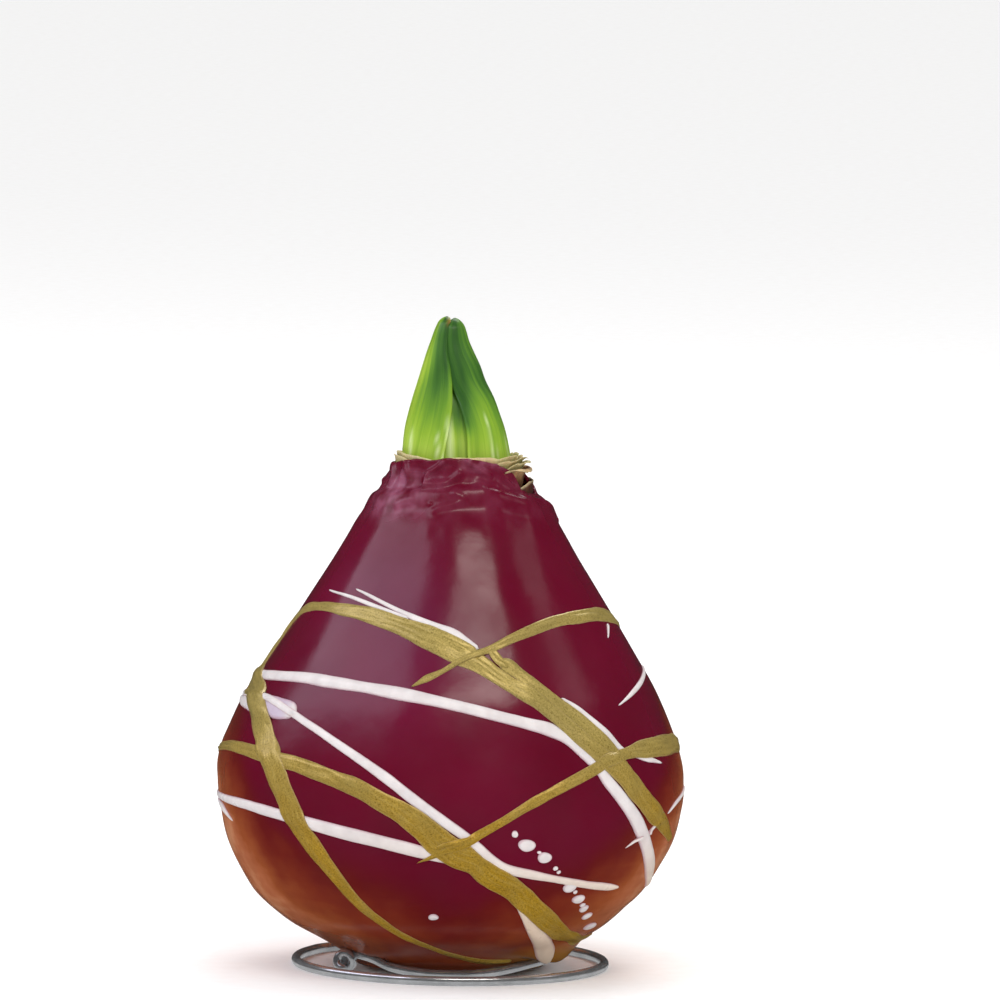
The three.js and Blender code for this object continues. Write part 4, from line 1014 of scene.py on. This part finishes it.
# One outer leaf: a curved blade from its front edge round to the back, closed at a blunt tip. Its
# section is an arc of the sprout's ellipse, thickest in the middle, with rounded edges.
def outerLeaf(side, edgeRows, backEdge, top, tipSkew, tipLength, seed):
    base, rows, columns = sprout["base"], sprout["rows"], sprout["columns"]
    height = base + (top - base) * (1 - (1 - np.linspace(0, 1, rows)[:, None]) ** sprout["bunching"])
    centre, half, depth = sproutAt(height)
    nearTip = ((height - top + tipLength) / (tipLength + 0.04)).clip(0, 1)
    spread = np.sqrt(np.maximum(1 - nearTip ** sprout["blunt"], 0.002))
    front = np.interp(height, *np.array(edgeRows, float).T)
    s = np.concatenate([np.linspace(0, 1, columns), np.linspace(1, 0, columns)])[None, :]
    outer = (np.arange(2 * columns) < columns)[None, :]
    azimuth = np.radians(front + (backEdge - front) * s)
    rounded = np.sqrt(np.clip(1 - (np.abs(2 * s - 1)) ** sprout["rounding"], 0, 1))
    tuck, start, full, lost, losing, least = sprout["tuck"]
    tucked = tuck * ease(height, start, full) * (1 - lost * ease(height, losing, least)) * (side > 0)
    tucked = np.minimum(tucked, 0.35 * depth) * (1 - ease(azimuth - np.radians(front), 0.05, 0.5))
    edgeShare, across = sprout["edgeThickness"], np.sin(np.pi * s)
    thickness = np.minimum(sprout["thickness"], sprout["ofDepth"] * depth)
    thickness = thickness * (edgeShare + (1 - edgeShare) * across ** 0.7)
    inset = np.where(outer, 0.5 * thickness * (1 - rounded), thickness * (1 - 0.5 * (1 - rounded)))
    rise, lumps, wide, tall = sprout["keel"]
    keel = rise * np.cos(azimuth * 2) + lumps * wander(np.degrees(azimuth) / wide, height / tall, seed)
    inset = inset - np.where(outer, keel * across, 0) + tucked
    middle = centre + tipSkew * ease(height, top - 6, top) + side * 0.42 * half * (1 - spread)
    x = middle + (half - inset) * np.sin(azimuth) * spread
    y = -(depth - inset) * np.cos(azimuth) * spread
    return np.stack([x, y, height + 0 * x], -1), height + 0 * x, np.degrees(azimuth)


# Depth of the leaf's green, 1 at the deepest: eased up the blade, it goes from the flank's share to
# the most along a bell curve about the fold, which moves and narrows high up; bands and the back
# deepen it
def leafDepth(green, height, azimuth):
    moved = ease(height, *green["foldMoves"])
    middle, width = (start + change * moved for start, change in green["fold"])
    start, added, *heights = green["flank"]
    flank = start + added * ease(height, *heights)
    fold = bell(azimuth, middle, width)
    depth = ease(height, *green["rises"]) * (flank + (green["most"] - flank) * fold)
    for share, bandAzimuth, bandWidth, *heights in green["bands"]:
        depth += share * bell(azimuth, bandAzimuth, bandWidth) * between(height, *heights)
    share, start, full, *heights = sprout["backGreen"]
    return np.clip(depth + share * ease(np.abs(azimuth), start, full) * ease(height, *heights), 0, 1)


# Share of painted rib highlight at a point of the blade: bell curves about each rib's azimuth, between two
# heights
def ribHighlightShare(height, azimuth, ribs):
    share, (pale, starting, stopping, most) = 0 * height, sprout["ribs"]
    for middle, width, low, high in ribs:
        shown = between(height, low, low + starting, high - stopping, high)
        share += pale * bell(azimuth, middle, width) * shown
    return np.minimum(share, most)


# The place of a leaf: its side, front edge, back azimuth, top, sideways lean and length of its tip,
# and its seed. Its blush: share, azimuth and span, height and reach. Its green: the fold's azimuth and
# width with what they change by, the flank's share with what is added, each over its heights, and bands
# of share, azimuth, width and heights. A painted rib highlight: its azimuth, width, and the heights
# between which it shows.
leaves = {
    "leftLeaf": {
        "place": (-1, sprout["leftEdge"], -179.4, 140.8, -0.25, 1.5, 61),
        "node": "left_leaf", "blush": (0.45, 6, 34, 139.8, 1.6),
        "green": {
            "rises": (107, 133), "most": 0.97, "fold": [(-32, 14), (34, -8)], "foldMoves": (121, 134),
            "flank": (0, 0.35, 128, 139), "bands": [(0.1, -8, 12, 0, 1, 150, 151)]},
        "ribs": [
            (-7.5, 2.5, 112, 121), (-14, 1.5, 106, 114), (-20, 1.6, 108, 118), (-58, 3, 104, 118),
            (-120, 3, 104, 122), (-150, 2, 106, 125)]},
    "rightLeaf": {
        "place": (1, sprout["rightEdge"], 179.4, 140.5, -0.1, 2.2, 62),
        "node": "right_leaf", "blush": (0, 6, 34, 139.8, 1.6),
        # The right leaf's darkest green, in the fold by its front edge and the band at 12 degrees, is partly
        # its own deep green and partly painted shadow cast by the left leaf's overlapping edge
        "green": {
            "rises": (104, 131), "most": 1, "fold": [(8, 0), (24, 0)], "foldMoves": (121, 134),
            "flank": (0.25, 0.42, 118, 132),
            "bands": [(0.32, 70, 30, 104, 118, 126, 134), (0.35, 12, 9, 115, 119, 126, 132)]},
        "ribs": [
            (42, 1.4, 106, 122), (49, 1, 106, 116), (74, 1.8, 106, 117), (115, 3, 104, 121),
            (148, 2, 105, 124)]},
}
for name, spec in leaves.items():
    rings, height, azimuth = outerLeaf(*spec["place"])
    share, middle, span, level, reach = spec["blush"]  # a reddish tip
    blush = share * hump(azimuth, middle, span) * hump(height, level, reach)
    deep, rib = leafDepth(spec["green"], height, azimuth), ribHighlightShare(height, azimuth, spec["ribs"])
    makePiece(name, [shell(rings, True, deep=deep, blush=blush, rib=rib)], leaf, [spec["node"]])

innerLeaf = {
    "inset": 1.4, "top": 128.4, "rows": 60, "columns": 56,
    "closing": (118, 11.6, 2.2),  # from what height, over what length and by what power
    "groove": (0.35, 8, 16),  # depth, azimuth and half its width
    "green": (0.06, 0.6, 114, 121),  # low down, and what is added between two heights: painted shade in the recess between the outer leaves
    # rib streaks painted as highlights
    "ribs": [(-7, 2.4, 104, 121), (9, 1.6, 106, 118)]}


# The young leaf: the sprout's outside set in, folded along its front by a soft groove, closing to a
# blunt point
def innerLeafRings():
    spec = innerLeaf
    height = np.linspace(sprout["base"], spec["top"], spec["rows"])[:, None]
    centre, half, depth = sproutAt(height)
    azimuth = np.linspace(-180, 180, spec["columns"], endpoint=False)[None, :]
    (start, length, power), (deep, *groove) = spec["closing"], spec["groove"]
    closing = np.sqrt(np.maximum(1 - ((height - start) / length).clip(0, 1) ** power, 0.003))
    inset = spec["inset"] + deep * hump(azimuth, *groove)
    x = centre + (half - inset) * closing * np.sin(np.radians(azimuth))
    y = -(depth - inset) * closing * np.cos(np.radians(azimuth))
    return np.stack([x, y, height + 0 * x], -1), height + 0 * x, azimuth + 0 * x


rings, height, azimuth = innerLeafRings()
pale, added, *heights = innerLeaf["green"]
deep, rib = pale + added * ease(height, *heights), ribHighlightShare(height, azimuth, innerLeaf["ribs"])
makePiece("innerLeaf", [shell(rings, True, deep=deep, blush=0 * deep, rib=rib)], leaf, ["inner_leaf"])
print("sprout made")

# Each layer: azimuths from and to, then (radius, height) points up its section, thickness, how
# ragged its top is, its age from 0, oldest, to 1, freshest, and its seed
neckScales = {
    "neck_scale_left": [
        (-128, -14, [(12.5, 99.4), (12.65, 106), (12.9, 110), (13.3, 112.0)], 0.3, 0.16, 0.85, 71),
        (-112, -44, [(13.2, 101), (13.35, 107), (13.6, 110.2), (14.0, 111.0)], 0.26, 0.14, 0.75, 72)],
    "neck_scale_front": [
        (-26, 50, [(12.45, 99.4), (12.6, 107), (12.85, 110.4), (13.15, 111.75)], 0.3, 0.08, 0.62, 73)],
    "neck_scale_right": [
        (22, 136, [(12.05, 99.4), (12.2, 106), (12.5, 109.5), (13.0, 111.3), (13.6, 111.6)],
         0.3, 0.4, 0.8, 74),
        (36, 124, [(12.6, 100), (12.8, 107), (13.2, 109.6), (14.3, 110.8), (15.2, 110.6)],
         0.28, 0.45, 0.72, 75),
        (46, 116, [(12.95, 100), (13.2, 106), (13.8, 108.6), (15.0, 109.8), (15.8, 109.4)],
         0.28, 0.4, 0.85, 80)],
    "neck_scale_right_fold": [
        (44, 120, [(13.3, 99.6), (13.6, 104), (14.0, 107), (14.9, 108.4), (15.8, 108.3), (16.2, 107.4)],
         0.3, 0.3, 0.3, 76),
        (56, 128, [(15.0, 99.6), (15.6, 101.6), (15.9, 103.2), (15.9, 104.6), (16.0, 105.9), (16.3, 105.7)],
         0.28, 0.3, 0.0, 77)],
    "neck_scale_back": [
        (134, 190, [(12.5, 99.4), (12.7, 106), (12.9, 110), (13.3, 111.8)], 0.3, 0.25, 0.6, 78),
        (178, 244, [(12.65, 99.4), (12.85, 106), (13.1, 109.8), (13.7, 111.2)], 0.28, 0.25, 0.5, 79)],
}
scaleSheet = {
    "columnsPerDegree": 0.9, "fewest": 30, "rows": 22,
    "corners": (0.16, 4),  # share by which the top comes down towards both ends, and its power
    "torn": [(0.1, 11, 0), (0.04, 3.5, 5)],  # of a ragged top: share, degrees and row
    "rounding": 14,  # power of the edges' curve
    "ripples": [(0.26, 15, 9), (0.06, 5, 5)],  # rise, degrees and height
    "uneven": (0.15, 12, 4),  # of the age: share, degrees and height
}


# A papery sheet: its section's curve is swept round the neck, and its top comes down by a slow
# wander and towards both ends; the sheet ripples in and out more and more towards the top
def scaleShell(start, end, section, thickness, ragged, age, seed):
    sheet = scaleSheet
    columns = max(int((end - start) * sheet["columnsPerDegree"]), sheet["fewest"])
    rows, u = sheet["rows"], np.linspace(0, 1, columns)[:, None]
    azimuth = start + (end - start) * u
    curve = through(section, 20)
    length = lengthAlong(curve)
    lower, power = sheet["corners"]
    torn = 1 - lower * np.abs(2 * u - 1) ** power
    for share, wide, row in sheet["torn"]:
        torn = torn - share * ragged * (1 + wander(azimuth / wide, row, seed))
    w = np.concatenate([np.linspace(0, 1, rows), np.linspace(1, 0, rows)])[None, :]
    outer = (np.arange(2 * rows) < rows)[None, :]
    at = w * torn * length[-1]
    radius, height = np.interp(at, length, curve[:, 0]), np.interp(at, length, curve[:, 1])
    ahead = np.gradient(curve, length, axis=0)
    normalR, normalZ = np.interp(at, length, ahead[:, 1]), -np.interp(at, length, ahead[:, 0])
    fromMiddle = np.maximum(w, np.abs(2 * u - 1))
    half = thickness / 2 * np.sqrt(np.clip(1 - fromMiddle ** sheet["rounding"], 0.02, 1))
    ripple = sum(
        rise * wander(azimuth / wide, height / tall, seed + number)
        for number, (rise, wide, tall) in enumerate(sheet["ripples"], 1))
    offset = np.where(outer, half, -half) + ripple * (0.15 + w ** 1.5)
    rings = polar(radius + normalR * offset, azimuth, height + normalZ * offset)
    share, wide, tall = sheet["uneven"]
    fresh = np.clip(age + share * wander(azimuth / wide, height / tall, seed + 3), 0, 1)
    return shell(rings, fresh=fresh, edge=w + 0 * u)


for node, layers in neckScales.items():
    makePiece(pieceName(node), [scaleShell(*layer) for layer in layers], dryScale, [node])
print("scales made")

studio = {
    "floorSize": 14.0, "floorCentre": 3.0,
    "distance": 1.3, "aimHeight": 0.06,  # of the soft boxes
    # name: azimuth, elevation, roll, width, height, power and colour of each soft box, and whether
    # glossy surfaces mirror it
    "softBoxes": {
        "keyRight": (17.5, 52.5, 0, 0.72, 0.17, 2.8, "#fff6ee", True),
        "keyLeft": (-82, 43, 24, 1.5, 0.42, 4.2, "#eeecff", True),
        "sideRight": (89, 38, 0, 0.4, 0.22, 0.26, "#fff2f2", True),
        "front": (14, 38, 0, 1.2, 1.2, 2.2, "#fffaf8", False),
        "back": (165, 50, 0, 0.7, 0.5, 4.5, "#ffffff", True),
    },
    "floorGleam": (1.6, -0.08, 3.3),  # width, height and power of what the wire mirrors
    "roomLight": 0.985, "roomGleam": 0.03, "backdrop": "#fbfbfa",
    "paper": [(0.3, "#ffffff"), (0.9, "#fbfaf9")],  # colours over its tooth
}


# Seamless paper: matt, with a faint tooth
def paperSweep(tree):
    place = addNode(tree, "TexCoord", output="Object")
    tooth = addNode(tree, "TexNoise", {"Vector": place, "Scale": 1 / 0.004, "Detail": 2})
    colour = addNode(tree, "ValToRGB", {"Fac": tooth}, stops=studio["paper"])
    return {"Base Color": colour, "Roughness": 0.85, "IOR": 1.45}


def makeFloor():
    half, middle = studio["floorSize"] / 2, studio["floorCentre"]
    mesh = bpy.data.meshes.new("studioFloor")
    corners = [(half * x, middle + half * y, 0) for x, y in ((-1, -1), (1, -1), (1, 1), (-1, 1))]
    mesh.from_pydata(corners, [], [(0, 1, 2, 3)])
    mesh.materials.append(newMaterial("matPaperSweep", paperSweep))
    floor = newObject("studioFloor", mesh)
    floor.visible_glossy = False  # keeps its white out of the wax's gleam


# An oblong light on a sphere round the bulb, facing its middle
def makeSoftBox(name, azimuth, elevation, roll, width, height, power, colour, mirrored):
    light = bpy.data.lights.new(name, "AREA")
    light.shape, light.size, light.size_y, light.energy = "RECTANGLE", width, height, power
    light.color = hexColour(colour)[:3]
    box = newObject(name, light)
    side = np.radians(elevation)
    place = polar(studio["distance"] * np.cos(side), azimuth, studio["distance"] * np.sin(side))
    turn = Matrix.Rotation(np.radians(azimuth), 4, "Z") @ Matrix.Rotation(np.radians(90 - elevation), 4, "X")
    turn = turn @ Matrix.Rotation(np.radians(roll), 4, "Z")
    box.matrix_world = Matrix.Translation((place[0], place[1], place[2] + studio["aimHeight"])) @ turn
    box.visible_glossy = mirrored


# The pale floor as the wire mirrors it: a light under the floor that reaches the wire alone
def makeFloorGleam(piece):
    width, height, power = studio["floorGleam"]
    light = bpy.data.lights.new("floorGleam", "AREA")
    light.size, light.energy = width, power
    panel = newObject("floorGleam", light)
    panel.matrix_world = Matrix.Translation((0, 0, height)) @ Matrix.Rotation(np.pi, 4, "X")
    reached = bpy.data.collections.new("mirrorsTheFloor")
    reached.objects.link(piece)
    panel.light_linking.receiver_collection = reached
    panel.light_linking.blocker_collection = reached


# The room: an even pale light from all round, dimmer in what glossy surfaces mirror, and a pale
# backdrop to look at
def makeWorld():
    world = bpy.data.worlds.new("studioRoom")
    world.use_nodes = True
    tree = world.node_tree
    tree.nodes.clear()
    white = (1, 1, 1, 1)
    room = addNode(tree, "Background", {"Color": white, "Strength": studio["roomLight"]})
    gleam = addNode(tree, "Background", {"Color": white, "Strength": studio["roomGleam"]})
    backdrop = addNode(tree, "Background", {"Color": hexColour(studio["backdrop"]), "Strength": 1.0})
    glossy = addNode(tree, "LightPath", output="Is Glossy Ray")
    seen = addNode(tree, "LightPath", output="Is Camera Ray")
    lit = addNode(tree, "MixShader", {0: glossy, 1: room, 2: gleam})
    addNode(tree, "OutputWorld", {"Surface": addNode(tree, "MixShader", {0: seen, 1: lit, 2: backdrop})})
    bpy.context.scene.world = world


cameraSet = {
    "distance": 3.0, "elevation": 5.6, "aim": (0.00904, 0.0, 0.1013), "roll": 1.0,
    "lens": 501.12, "sensor": 36.0, "clip": (0.1, 100)}


def makeCamera():
    spec = cameraSet
    data = bpy.data.cameras.new("frontCamera")
    data.lens, data.sensor_width = spec["lens"], spec["sensor"]
    data.clip_start, data.clip_end = spec["clip"]
    camera = newObject("frontCamera", data)
    tilt, roll = np.radians(spec["elevation"]), np.radians(spec["roll"])
    x, y, z = spec["aim"]
    place = Matrix.Translation((x, y - spec["distance"] * np.cos(tilt), z + spec["distance"] * np.sin(tilt)))
    camera.matrix_world = place @ Matrix.Rotation(np.pi / 2 - tilt, 4, "X") @ Matrix.Rotation(roll, 4, "Z")
    bpy.context.scene.camera = camera


makeFloor()
for boxName, values in studio["softBoxes"].items():
    makeSoftBox(boxName, *values)
makeFloorGleam(pieces["wireStand"])
makeWorld()
makeCamera()
print("studio set")
